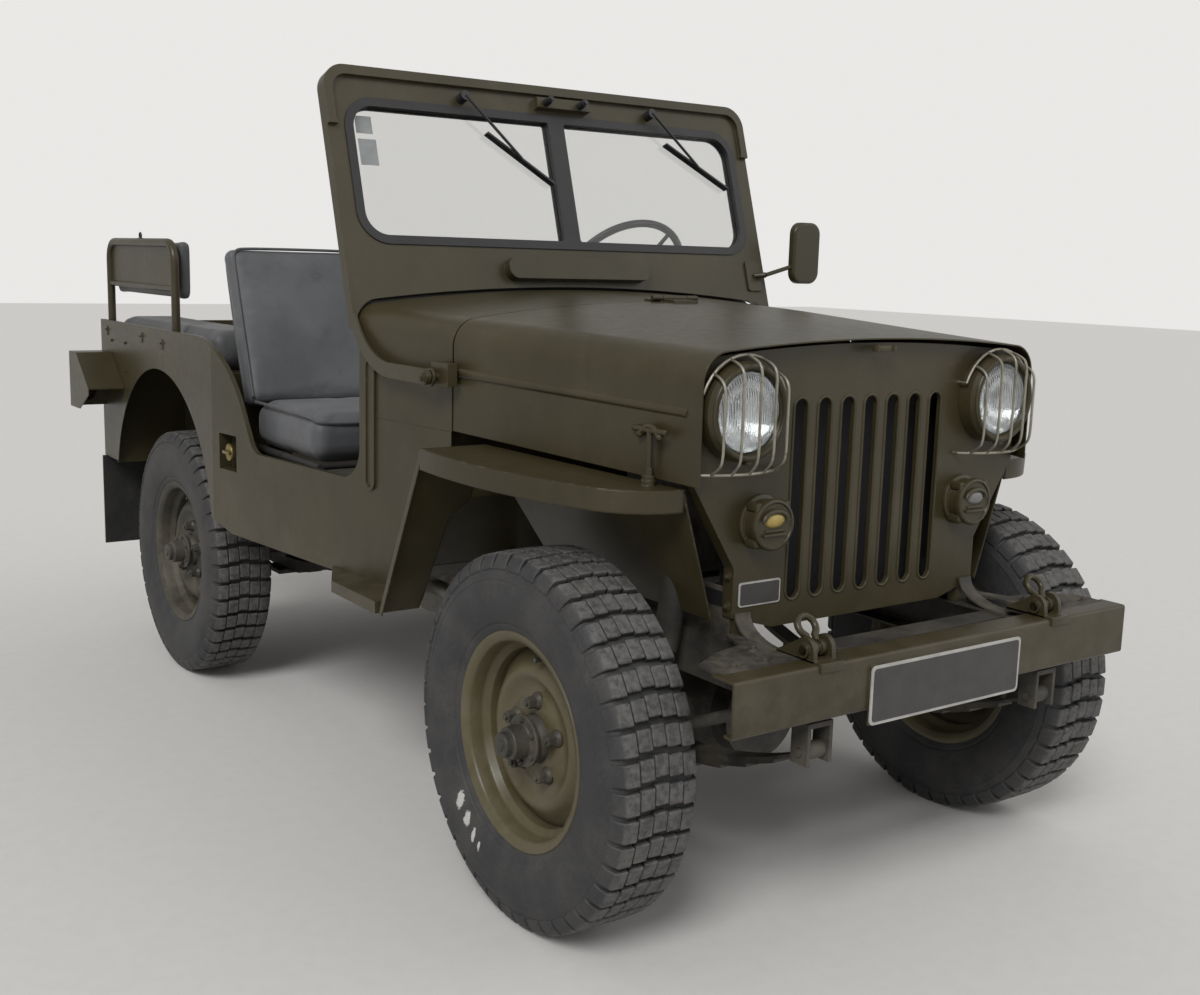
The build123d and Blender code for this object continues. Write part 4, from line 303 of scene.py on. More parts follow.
@dataclass(frozen=True)
class RubberFinish:
    """Moulded rubber with road dust."""

    name: str
    base: Colour = (0.022, 0.022, 0.024)
    dust: Colour = (0.105, 0.098, 0.088)
    dust_share: float = 0.5
    roughness: float = 0.62
    pebble: float = 0.0005

    def shade(self, g: Graph) -> tuple[NodeSocket, NodeSocket]:
        """The dusty colour and the roughness."""
        clouds = g.span(g.noise(9.0, 6.0, 0.7), 0.36, 0.70)
        grit = g.span(g.noise(330.0, 2.0), 0.50, 0.72)
        mask = g.math("MULTIPLY", g.math("ADD", g.math("MULTIPLY", clouds, 0.6),
                                         g.math("MULTIPLY", grit, 0.5)), self.dust_share)
        colour = g.mix(mask, self.base, self.dust)
        rough = g.math("ADD", g.math("MULTIPLY", mask, 0.3), self.roughness, clamp=True)
        return colour, rough

    def make(self) -> Material:
        """Build the node tree."""
        g = Graph(self.name)
        colour, rough = self.shade(g)
        height = g.math("ADD", g.noise(180.0, 4.0), g.math("MULTIPLY", g.noise(30.0, 3.0), 1.5))
        rounded, _ = g.edge(0.0015)
        return g.surface(colour, rough, g.bump(height, self.pebble, 0.7, rounded))


@dataclass(frozen=True)
class TyreFinish(RubberFinish):
    """Tyre rubber: dusty worn tread, smoother side, optional brushed white dabs."""

    axle: Point = (0.0, 0.0, 0.0)
    dabs: tuple[tuple[float, float, float, float], ...] = ()
    white: Colour = (0.50, 0.50, 0.48)

    def make(self) -> Material:
        """Build the node tree."""
        g = Graph(self.name)
        colour, rough = self.shade(g)
        centred = g.node("ShaderNodeMapping")
        g.put(centred.inputs["Vector"], g.where)
        centred.inputs["Location"].default_value = (0.0, -self.axle[1], -self.axle[2])
        centred.inputs["Scale"].default_value = (0.0, 1.0, 1.0)
        reach = g.node("ShaderNodeVectorMath", operation="LENGTH")
        g.put(reach.inputs[0], centred.outputs["Vector"])
        tread = g.span(reach.outputs["Value"], 0.371, 0.3790)
        worn = g.math("MULTIPLY", tread, g.span(g.noise(70.0, 5.0, 0.7), 0.30, 0.66))
        colour = g.mix(g.math("MULTIPLY", worn, 0.75), colour, (0.120, 0.116, 0.109))
        for along, up, length, width in self.dabs:
            spot = g.node("ShaderNodeMapping")
            g.put(spot.inputs["Vector"], centred.outputs["Vector"])
            spot.inputs["Location"].default_value = (0.0, -along / length, -up / width)
            spot.inputs["Scale"].default_value = (0.0, 1.0 / length, 1.0 / width)
            away = g.node("ShaderNodeVectorMath", operation="LENGTH")
            g.put(away.inputs[0], spot.outputs["Vector"])
            ragged = g.math("ADD", away.outputs["Value"],
                            g.math("MULTIPLY", g.noise(95.0, 5.0, 0.75), 1.8))
            outer = g.span(g.axis("X"), -0.69, -0.70)
            dab = g.math("MULTIPLY", g.span(ragged, 1.95, 1.65), outer)
            colour = g.mix(g.math("MULTIPLY", dab, 0.85), colour, self.white)
        height = g.math("ADD", g.noise(240.0, 3.0), g.math("MULTIPLY", g.noise(45.0, 4.0), 1.6))
        rounded, _ = g.edge(0.0015)
        return g.surface(colour, rough, g.bump(height, self.pebble, 0.6, rounded))


@dataclass(frozen=True)
class GlassFinish:
    """Clear or tinted glass, with optional moulded ribs."""

    name: str
    tint: Colour = (0.93, 0.96, 0.95)
    roughness: float = 0.01
    ribs: float = 0.0

    def make(self) -> Material:
        """Build the node tree."""
        g = Graph(self.name)
        dusty = g.math("ADD", g.math("MULTIPLY", g.noise(7.0, 5.0), 0.04), self.roughness)
        normal = None
        if self.ribs:
            wave = g.node("ShaderNodeTexWave", bands_direction="X")
            g.put(wave.inputs["Vector"], g.where)
            wave.inputs["Scale"].default_value = self.ribs
            wave.inputs["Distortion"].default_value = 0.6
            normal = g.bump(wave.outputs["Fac"], 0.0015, 0.5)
        return g.surface(self.tint, dusty, normal, Transmission_Weight=1.0, IOR=1.45)


@dataclass(frozen=True)
class VinylFinish:
    """Coated canvas with a fine weave, soft creases and grime."""

    name: str
    base: Colour = (0.070, 0.073, 0.079)
    faded: Colour = (0.104, 0.107, 0.114)
    grime: Colour = (0.042, 0.041, 0.039)
    roughness: float = 0.48

    def make(self) -> Material:
        """Build the node tree."""
        g = Graph(self.name)
        colour = g.mix(g.span(g.noise(5.0, 4.0), 0.35, 0.68), self.base, self.faded)
        dirt = g.math("MULTIPLY", g.span(g.noise(13.0, 6.0, 0.7), 0.52, 0.74), 0.55)
        colour = g.mix(dirt, colour, self.grime)
        weave = g.math("ADD", g.noise(900.0, 1.0), g.math("MULTIPLY", g.noise(12.0, 3.0), 6.0))
        rough = g.math("ADD", g.math("MULTIPLY", g.noise(30.0, 4.0), 0.15), self.roughness)
        return g.surface(colour, rough, g.bump(weave, 0.0005, 0.5), Sheen_Weight=0.15)


@dataclass(frozen=True)
class PlainFinish:
    """Moulded plastic, chrome or enamel: a small spread of tone and gloss."""

    name: str
    base: Colour
    roughness: float = 0.35
    metallic: float = 0.0
    spread: float = 0.25

    def make(self) -> Material:
        """Build the node tree."""
        g = Graph(self.name)
        dim = tuple(part * (1.0 - self.spread) for part in self.base)
        colour = g.mix(g.span(g.noise(22.0, 5.0, 0.65), 0.35, 0.70), self.base, dim)
        rough = g.math("ADD", g.math("MULTIPLY", g.noise(60.0, 4.0), 0.18), self.roughness - 0.08)
        normal = g.bump(g.noise(400.0, 2.0), 0.0002, 0.4)
        return g.surface(colour, rough, normal, Metallic=self.metallic)


class Finishes:
    """Every material, made once."""

    def __init__(self) -> None:
        """Build the materials."""
        olive, faded = (0.034, 0.028, 0.012), (0.045, 0.037, 0.017)
        self.paint = PaintFinish("olive_paint", olive, faded).make()
        self.wing = PaintFinish("wing_paint", olive, faded, edge_radius=0.006).make()
        self.wheel = PaintFinish("wheel_olive", (0.074, 0.062, 0.029), (0.092, 0.078, 0.040),
                                 dust_share=0.30).make()
        self.dirty_wheel = PaintFinish("wheel_dirty", (0.030, 0.027, 0.019), (0.046, 0.041, 0.029),
                                       dust_share=0.5, roughness=0.5).make()
        self.hub = PaintFinish("hub_dark", (0.032, 0.030, 0.024), (0.048, 0.045, 0.036),
                               dust_share=0.4, roughness=0.45).make()
        self.chassis = PaintFinish("chassis_black", (0.020, 0.019, 0.018), (0.032, 0.030, 0.027),
                                   worn=(0.07, 0.06, 0.05), dust_share=0.45, dust_top=0.95,
                                   roughness=0.55).make()
        self.cast = MetalFinish("cast_iron", (0.13, 0.125, 0.12), (0.07, 0.055, 0.04), 0.55).make()
        self.steel = MetalFinish("dull_steel", (0.30, 0.29, 0.26), (0.12, 0.085, 0.055), 0.38).make()
        self.guard = MetalFinish("guard_wire", (0.36, 0.34, 0.28), (0.10, 0.09, 0.06), 0.36,
                                 metallic=0.8, stain_share=0.6).make()
        self.brass = MetalFinish("brass_cap", (0.26, 0.19, 0.07), (0.08, 0.07, 0.04), 0.36,
                                 stain_share=0.4).make()
        self.chrome = PlainFinish("bright_reflector", (0.80, 0.81, 0.82), 0.12, 1.0, 0.1).make()
        self.black = PlainFinish("black_trim", (0.018, 0.018, 0.019), 0.38).make()
        self.plate = PlainFinish("plate_face", (0.045, 0.043, 0.042), 0.40).make()
        self.plate_edge = PlainFinish("plate_border", (0.40, 0.39, 0.37), 0.42).make()
        self.label = PlainFinish("blank_label", (0.62, 0.66, 0.70), 0.5).make()
        self.amber = PlainFinish("amber_lens", (0.34, 0.25, 0.07), 0.22).make()
        self.grey_lens = PlainFinish("grey_lens", (0.17, 0.17, 0.165), 0.25).make()
        self.red = PlainFinish("red_lens", (0.28, 0.012, 0.010), 0.18).make()
        self.rubber = RubberFinish("black_rubber", base=(0.013, 0.013, 0.014), dust_share=0.12,
                                   roughness=0.48).make()
        self.core = PlainFinish("radiator_black", (0.010, 0.010, 0.011), 0.6).make()
        self.gusset = PaintFinish("dusty_black", (0.022, 0.020, 0.018), (0.040, 0.036, 0.030),
                                  worn=(0.10, 0.09, 0.075), dust_share=0.75, dust_top=1.1,
                                  roughness=0.6).make()
        self.flap = RubberFinish("flap_rubber", base=(0.009, 0.009, 0.009), dust_share=0.22).make()
        self.window = GlassFinish("window_glass", tint=(0.68, 0.68, 0.67)).make()
        self.lens = GlassFinish("ribbed_glass", tint=(0.95, 0.97, 0.97), ribs=55.0).make()
        self.mirror = PlainFinish("mirror_face", (0.72, 0.74, 0.75), 0.10, 1.0, 0.04).make()
        self.vinyl = VinylFinish("seat_vinyl").make()
        self.piping = VinylFinish("seat_piping", (0.056, 0.058, 0.062), (0.080, 0.082, 0.086)).make()
        self.bench = VinylFinish("bench_vinyl", (0.062, 0.064, 0.066), (0.090, 0.092, 0.095)).make()


# Mesh helpers


def arc(radius: float, first: int, last: int, step: int,
        height: float | None = None) -> list[tuple[float, float]]:
    """Points round an arc.

    Args:
        radius: Its radius.
        first: The first point's angle in degrees.
        last: The last point's angle.
        step: The angle between points, negative for clockwise.
        height: The second radius, if it isn't round.

    Returns:
        The points as pairs, from their cosines and sines.
    """
    tall = radius if height is None else height
    turns = [math.radians(degrees) for degrees in range(first, last + (1 if step > 0 else -1), step)]
    return [(math.cos(turn) * radius, math.sin(turn) * tall) for turn in turns]


def turned(direction: Point, roll: float = 0.0) -> Matrix:
    """A turn that takes +Z to a direction."""
    way = Vector(direction).to_track_quat("Z", "Y").to_matrix().to_4x4()
    return way @ Matrix.Rotation(roll, 4, "Z")


def add_bar(bm: BMesh, start: Point, end: Point, radius: float,
            sides: int = 16, end_radius: float | None = None) -> None:
    """A capped round bar between two points.

    Args:
        bm: The mesh to add to.
        start: Its first end's middle.
        end: Its other end's middle.
        radius: Its radius at the start.
        sides: How many flats it has.
        end_radius: Its radius at the end, if it tapers.
    """
    first, run = Vector(start), Vector(end) - Vector(start)
    place = Matrix.Translation(first + run / 2) @ turned(run)
    bmesh.ops.create_cone(bm, cap_ends=True, segments=sides, radius1=radius,
                          radius2=radius if end_radius is None else end_radius,
                          depth=run.length, matrix=place)


def edges_of(verts: Iterable[BMVert]) -> list[BMEdge]:
    """The edges that touch some vertices, each once and always in the same order."""
    return list(dict.fromkeys(edge for vert in verts for edge in vert.link_edges))


def add_block(bm: BMesh, low: Point, high: Point, place: Matrix | None = None,
              bevel: float = 0.0, segments: int = 2) -> list[BMVert]:
    """A block between two corners, turned by a matrix and rounded at its edges.

    Args:
        bm: The mesh to add to.
        low: Its lowest corner before the turn.
        high: Its highest corner before the turn.
        place: A matrix applied afterwards.
        bevel: The rounding's width.
        segments: The rounding's steps.

    Returns:
        The block's vertices.
    """
    low, high = Vector(low), Vector(high)
    size = Matrix.Diagonal((*(high - low), 1.0))
    made = bmesh.ops.create_cube(bm, size=1.0, matrix=Matrix.Translation((low + high) / 2) @ size)
    verts = made["verts"]
    if bevel:
        rounded = bmesh.ops.bevel(bm, geom=edges_of(verts), offset=bevel, segments=segments,
                                  profile=0.5, affect="EDGES", material=-1)
        near = dict.fromkeys(vert for face in rounded["faces"] for vert in face.verts)
        verts = list(dict.fromkeys(vert for edge in edges_of(near) for vert in edge.verts))
    if place is not None:
        bmesh.ops.transform(bm, matrix=place, verts=verts)
    return verts


def add_plate(bm: BMesh, outline: Iterable[Point], depth: Point) -> None:
    """A flat plate from its outline's points, pushed along a vector."""
    verts = [bm.verts.new(point) for point in outline]
    face = bm.faces.new(verts)
    grown = bmesh.ops.extrude_face_region(bm, geom=[face])
    moved = [item for item in grown["geom"] if isinstance(item, BMVert)]
    bmesh.ops.translate(bm, vec=Vector(depth), verts=moved)


def grow_edges(bm: BMesh, edges: list[BMEdge], move: Point,
               widen: float = 1.0) -> list[BMEdge]:
    """Pull faces out of a line of edges.

    Args:
        bm: The mesh to add to.
        edges: The line's edges.
        move: How far the new line lies from the old one.
        widen: What the new line's X is multiplied by.

    Returns:
        The new line's edges.
    """
    grown = bmesh.ops.extrude_edge_only(bm, edges=edges)["geom"]
    verts = {item for item in grown if isinstance(item, BMVert)}
    for vert in verts:
        vert.co = Vector((vert.co.x * widen, vert.co.y, vert.co.z)) + Vector(move)
    fresh = [item for item in grown if isinstance(item, BMEdge)]
    return [edge for edge in fresh if all(vert in verts for vert in edge.verts)]


def add_lathe(bm: BMesh, profile: Iterable[tuple[float, float]], centre: Point,
              axis: Point = (1, 0, 0), steps: int = 64, closed: bool = False) -> None:
    """A turned shape from pairs of distance along an axis and radius.

    Args:
        bm: The mesh to add to.
        profile: The pairs, from one end to the other.
        centre: The axis's zero point.
        axis: The axis's direction.
        steps: How many steps the full turn takes.
        closed: Whether the last pair joins the first.
    """
    way = turned(axis)
    place = Matrix.Translation(Vector(centre)) @ way
    verts = [bm.verts.new(place @ Vector((radius, 0.0, along))) for along, radius in profile]
    pairs = list(zip(verts, verts[1:])) + ([(verts[-1], verts[0])] if closed else [])
    edges = [bm.edges.new(pair) for pair in pairs]
    bmesh.ops.spin(bm, geom=verts + edges, cent=Vector(centre), axis=Vector(axis),
                   angle=math.tau, steps=steps, use_merge=True)
    bmesh.ops.remove_doubles(bm, verts=bm.verts, dist=1e-6)


def add_tube(bm: BMesh, points: Sequence[Point], radius: float,
             closed: bool = False, smooth: bool = False, sides: int = 4) -> None:
    """A round bar that follows points.

    Args:
        bm: The mesh to add to.
        points: The points of its middle line.
        radius: The bar's radius.
        closed: Whether it is a loop.
        smooth: Whether the line is rounded through the points.
        sides: The curve's bevel resolution.
    """
    curve = bpy.data.curves.new("tube_line", "CURVE")
    curve.dimensions = "3D"
    curve.bevel_depth = radius
    curve.bevel_resolution = sides
    curve.use_fill_caps = not closed
    curve.resolution_u = 6
    spline = curve.splines.new("NURBS" if smooth else "POLY")
    spline.points.add(len(points) - 1)
    for spot, point in zip(spline.points, points):
        spot.co = (*point, 1.0)
    spline.use_cyclic_u = closed
    if smooth:
        spline.order_u = 3
        spline.use_endpoint_u = not closed
    holder = bpy.data.objects.new("tube_line", curve)
    mesh = bpy.data.meshes.new_from_object(holder)
    bm.from_mesh(mesh)
    bpy.data.objects.remove(holder)
    bpy.data.curves.remove(curve)
    bpy.data.meshes.remove(mesh)


def add_bolt(bm: BMesh, spot: Point, way: Point, size: float = 0.006,
             washer: bool = True) -> None:
    """A hexagon bolt head standing on a surface.

    Args:
        bm: The mesh to add to.
        spot: The point on the surface.
        way: The surface's outward direction.
        size: The head's radius over its corners.
        washer: Whether a washer lies under it.
    """
    base, out = Vector(spot), Vector(way).normalized()
    sunk = base - out * 0.001
    if washer:
        add_bar(bm, sunk, base + out * size * 0.25, size * 1.5, 14)
    add_bar(bm, sunk, base + out * size * 0.95, size, 6, size * 0.94)
    add_bar(bm, sunk, base + out * size * 1.25, size * 0.5, 8, size * 0.42)


@dataclass
class Workshop:
    """Turns meshes into pieces that ride on the car's bodies."""

    finishes: Finishes

    def piece(self, name: str, bm: BMesh, material: Material, slot: Slot,
              body: str = "body", replaces: tuple[str, ...] = (), sharp: float = 38.0,
              outward: bool = True) -> Object:
        """Make one piece.

        Args:
            name: The piece's name.
            bm: Its mesh, freed here.
            material: Its finish.
            slot: The record's slot that the finish comes from; not used.
            body: The CAD body it rides on.
            replaces: CAD nodes that it stands for.
            sharp: Edges that turn by more degrees than this stay sharp.
            outward: Whether its normals are recalculated.

        Returns:
            The piece.
        """
        if outward:
            bmesh.ops.recalc_face_normals(bm, faces=bm.faces)
        limit = math.radians(sharp)
        for face in bm.faces:
            face.smooth = True
        for edge in bm.edges:
            edge.smooth = edge.is_boundary or edge.calc_face_angle(0.0) < limit
        mesh = bpy.data.meshes.new(name)
        bm.to_mesh(mesh)
        bm.free()
        made = bpy.data.objects.new(name, mesh)
        bpy.context.scene.collection.objects.link(made)
        mesh.materials.append(material)
        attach(made, body)
        if replaces:
            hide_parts(*replaces)
        LOG.info("%s rides on %s, %d faces", name, body, len(mesh.polygons))
        return made


# Running gear


@dataclass
class WheelPlace:
    """Where a wheel stands."""

    name: str
    side: Side
    axle_y: float

    @property
    def centre(self) -> Vector:
        """The wheel's middle."""
        return self.side.at(HALF_TRACK, self.axle_y, TYRE_R)

    @property
    def out(self) -> Vector:
        """The direction away from the car."""
        return self.side.at(1, 0, 0)

    @property
    def body(self) -> str:
        """The CAD body that the wheel is."""
        return f"wheel_{self.name}"


WHEEL_PLACES = (
    WheelPlace("front_right", Side.RIGHT, FRONT_AXLE_Y),
    WheelPlace("front_left", Side.LEFT, FRONT_AXLE_Y),
    WheelPlace("rear_right", Side.RIGHT, REAR_AXLE_Y),
    WheelPlace("rear_left", Side.LEFT, REAR_AXLE_Y),
)


@dataclass
class Tyre:
    """A bar-tread tyre: turned casing, and bars of three blocks between two shoulder lumps."""

    shop: Workshop
    place: WheelPlace
    bars: int = 44
    base_r: float = 0.3650
    bar_share: float = 0.74
    inner_blocks: tuple[tuple[float, float, float], ...] = (
        # from, to, step along the tread
        (-0.0472, -0.0165, 0.0010), (-0.0148, 0.0148, 0.0055), (0.0165, 0.0472, 0.0010))
    sunk: float = 0.004
    shoulder_from: float = 0.0492
    shoulder_x: float = 0.0770
    shoulder_step: float = -0.0030
    shoulder_share: float = 1.06
    side_x: float = 0.0935
    side_r: float = 0.346
    block_edge: float = 0.0024
    marked: str = "front_right"
    dabs: tuple[tuple[float, float, float, float], ...] = (
        # place along and up from the axle, half length, half width
        (0.190, -0.183, 0.012, 0.020), (0.160, -0.214, 0.010, 0.017),
        (0.131, -0.240, 0.006, 0.016), (0.107, -0.255, 0.004, 0.011))

    def carcass(self, bm: BMesh) -> None:
        """Turn the casing, with its bead ring and side ridges."""
        half = ((0.0600, 0.2066), (0.0690, 0.2145), (0.0740, 0.2235), (0.0775, 0.2290),
                (0.0795, 0.2330), (0.0800, 0.2370), (0.0815, 0.2380), (0.0840, 0.2430),
                (0.0905, 0.2600), (0.0950, 0.2780), (0.0975, 0.2960), (0.0978, 0.3100),
                (0.0962, 0.3240), (0.0958, 0.3265), (0.0966, 0.3275), (0.0958, 0.3300),
                (0.0930, 0.3380), (0.0895, 0.3470), (0.0850, 0.3560), (0.0780, 0.3635),
                (0.0700, 0.3665), (0.0400, self.base_r))
        profile = [*half, *((-along, radius) for along, radius in reversed(half))]
        add_lathe(bm, profile, self.place.centre, self.place.out, 96, closed=True)

    def bar_parts(self) -> list[tuple[list[tuple[float, float]], float, float]]:
        """One bar's parts.

        Returns:
            Each part's outline as distances across and radii, its step along the tread,
            and its share of the bar's length.
        """
        foot = self.base_r - self.sunk
        parts = [([(low, foot), (low, TYRE_R), (high, TYRE_R), (high, foot)], step, 1.0)
                 for low, high, step in self.inner_blocks]
        lump = [(self.shoulder_from, foot), (self.shoulder_from, TYRE_R - 0.0005),
                (self.shoulder_x, TYRE_R - 0.002), (0.0880, 0.3625), (self.side_x, self.side_r),
                (self.side_x - 0.011, self.side_r - 0.003)]
        for outline in (lump, [(-across, radius) for across, radius in lump]):
            parts.append((outline, self.shoulder_step, self.shoulder_share))
        return parts

    def blocks(self, bm: BMesh) -> None:
        """Shape one bar's blocks and repeat them round the tyre."""
        half_bar = self.bar_share * math.pi * TYRE_R / self.bars
        carcass = set(bm.verts)
        for outline, step, share in self.bar_parts():
            before, reach = set(bm.verts), half_bar * share
            add_plate(bm, [(across, step - reach, radius) for across, radius in outline],
                      (0, 2 * reach, 0))
            fresh = [vert for vert in bm.verts if vert not in before]
            bmesh.ops.bevel(bm, geom=edges_of(fresh), offset=self.block_edge, segments=1,
                            profile=0.5, affect="EDGES", material=-1)
        fresh = [vert for vert in bm.verts if vert not in carcass]
        bmesh.ops.translate(bm, vec=self.place.centre, verts=fresh)
        faces = list(dict.fromkeys(face for vert in fresh for face in vert.link_faces))
        bmesh.ops.spin(bm, geom=fresh + edges_of(fresh) + faces, cent=self.place.centre,
                       axis=self.place.out, angle=math.tau * (1 - 1 / self.bars),
                       steps=self.bars - 1, use_duplicate=True)

    def build(self) -> None:
        """Make the tyre."""
        bm = bmesh.new()
        self.carcass(bm)
        self.blocks(bm)
        finish = TyreFinish(f"tyre_{self.place.name}", axle=tuple(self.place.centre),
                            dabs=self.dabs if self.place.name == self.marked else ())
        self.shop.piece(f"tyre_tread_{self.place.name}", bm, finish.make(), Slot.TYRE,
                        self.place.body, (f"tyre_{self.place.name}",), sharp=32.0)


@dataclass
class Wheel:
    """A pressed disc wheel with its drum, hub, nuts and valve."""

    shop: Workshop
    place: WheelPlace
    nuts: int = 5
    nut_circle: float = 0.078
    nut_foot: float = 0.028
    nut_turn: float = 0.35
    valve: Point = (0.026, 0.176, 1.75)
    hub_bolts: int = 6
    hub_bolt_circle: float = 0.0445
    hub_bolt_r: float = 0.0068
    hub_face: float = 0.0603

    def at(self, along: float, radius: float, turn: float) -> Vector:
        """A point on the wheel from its distance out, radius and turn."""
        return self.place.centre + self.place.out * along + Vector(
            (0, math.cos(turn) * radius, math.sin(turn) * radius))

    def stack(self, bm: BMesh, foot: Vector, *bars: tuple[float, float, float, int, float]) -> None:
        """Stand coaxial bars on the wheel.

        Args:
            bm: The mesh to add to.
            foot: The point that distances are counted from.
            *bars: Each bar's start and end, radius, flats and end radius.
        """
        for start, end, radius, flats, end_r in bars:
            out = self.place.out
            add_bar(bm, foot + out * start, foot + out * end, radius, flats, end_r)

    def rim_and_disc(self) -> None:
        """The rolled rim and the pressed disc; the rear wheels' discs are dirtier."""
        bm, finishes = bmesh.new(), self.shop.finishes
        rim = ((-0.0750, 0.2160), (-0.0755, 0.2205), (-0.0735, 0.2225), (-0.0700, 0.2215),
               (-0.0640, 0.2085), (-0.0600, 0.2058), (-0.0320, 0.2025), (-0.0240, 0.1885),
               (-0.0200, 0.1870), (0.0200, 0.1870), (0.0240, 0.1885), (0.0320, 0.2025),
               (0.0600, 0.2058), (0.0640, 0.2085), (0.0700, 0.2215), (0.0735, 0.2225),
               (0.0755, 0.2205), (0.0750, 0.2165), (0.0690, 0.2030), (0.0640, 0.1995),
               (0.0400, 0.1975), (0.0330, 0.1955), (0.0270, 0.1835), (0.0230, 0.1825),
               (-0.0230, 0.1825), (-0.0270, 0.1835), (-0.0330, 0.1955), (-0.0400, 0.1975),
               (-0.0640, 0.1995), (-0.0690, 0.2030))
        disc = ((-0.0060, 0.1835), (-0.0020, 0.1835), (0.0040, 0.1810), (0.0110, 0.1700),
                (0.0230, 0.1560), (0.0320, 0.1470), (0.0365, 0.1385), (0.0370, 0.1310),
                (0.0340, 0.1235), (0.0280, 0.1140), (0.0250, 0.1040), (0.0245, 0.0950),
                (0.0260, 0.0900), (0.0285, 0.0860), (0.0290, 0.0500), (0.0240, 0.0480),
                (0.0235, 0.0840), (0.0205, 0.0900), (0.0190, 0.0960), (0.0195, 0.1040),
                (0.0225, 0.1150), (0.0285, 0.1250), (0.0315, 0.1320), (0.0310, 0.1370),
                (0.0270, 0.1440), (0.0180, 0.1530), (0.0060, 0.1670), (-0.0010, 0.1775))
        for profile in (rim, disc):
            add_lathe(bm, profile, self.place.centre, self.place.out, 96, closed=True)
        front = self.place.axle_y == FRONT_AXLE_Y
        self.shop.piece(f"wheel_disc_{self.place.name}", bm,
                        finishes.wheel if front else finishes.dirty_wheel, Slot.WHEEL,
                        self.place.body, (self.place.body,), sharp=50.0)

    def hub(self) -> None:
        """The brake drum and the bolted hub."""
        bm = bmesh.new()
        drum = ((-0.0320, 0.1400), (0.0100, 0.1400), (0.0150, 0.1360), (0.0180, 0.1280),
                (0.0185, 0.0600), (-0.0320, 0.0600))
        add_lathe(bm, drum, self.place.centre, self.place.out, 64, closed=True)
        hub = ((0.0180, 0.0000), (0.0180, 0.0500), (0.0300, 0.0495), (0.0400, 0.0460),
               (0.0440, 0.0430), (0.0520, 0.0420), (0.0525, 0.0520), (0.0540, 0.0535),
               (0.0590, 0.0535), (0.0605, 0.0520), (0.0610, 0.0370), (0.0640, 0.0345),
               (0.0940, 0.0330), (0.0970, 0.0305), (0.0975, 0.0260), (0.1090, 0.0250),
               (0.1115, 0.0225), (0.1120, 0.0120), (0.1150, 0.0110), (0.1155, 0.0000))
        add_lathe(bm, hub, self.place.centre, self.place.out, 48)
        for index in range(self.hub_bolts):
            turn = math.tau * (index + 0.5) / self.hub_bolts
            add_bolt(bm, self.at(self.hub_face, self.hub_bolt_circle, turn), self.place.out,
                     self.hub_bolt_r, washer=False)
        self.shop.piece(f"hub_{self.place.name}", bm, self.shop.finishes.hub, Slot.CHASSIS,
                        self.place.body, sharp=35.0)

    def nuts_and_valve(self) -> None:
        """Wheel nuts on coned seats, and the tyre valve."""
        bm = bmesh.new()
        for index in range(self.nuts):
            turn = math.tau * index / self.nuts + self.nut_turn
            self.stack(bm, self.at(self.nut_foot, self.nut_circle, turn),
                       (0.0, 0.008, 0.0190, 20, 0.0145), (0.007, 0.025, 0.0140, 6, 0.0125),
                       (0.023, 0.031, 0.0070, 10, 0.0062))
        self.stack(bm, self.at(*self.valve), (-0.006, 0.020, 0.0042, 10, 0.0042),
                   (0.018, 0.030, 0.0052, 10, 0.0052))
        self.shop.piece(f"wheel_nuts_{self.place.name}", bm, self.shop.finishes.hub, Slot.WHEEL,
                        self.place.body, sharp=35.0)

    def build(self) -> None:
        """Make the wheel's pieces."""
        self.rim_and_disc()
        self.hub()
        self.nuts_and_valve()


# Front end


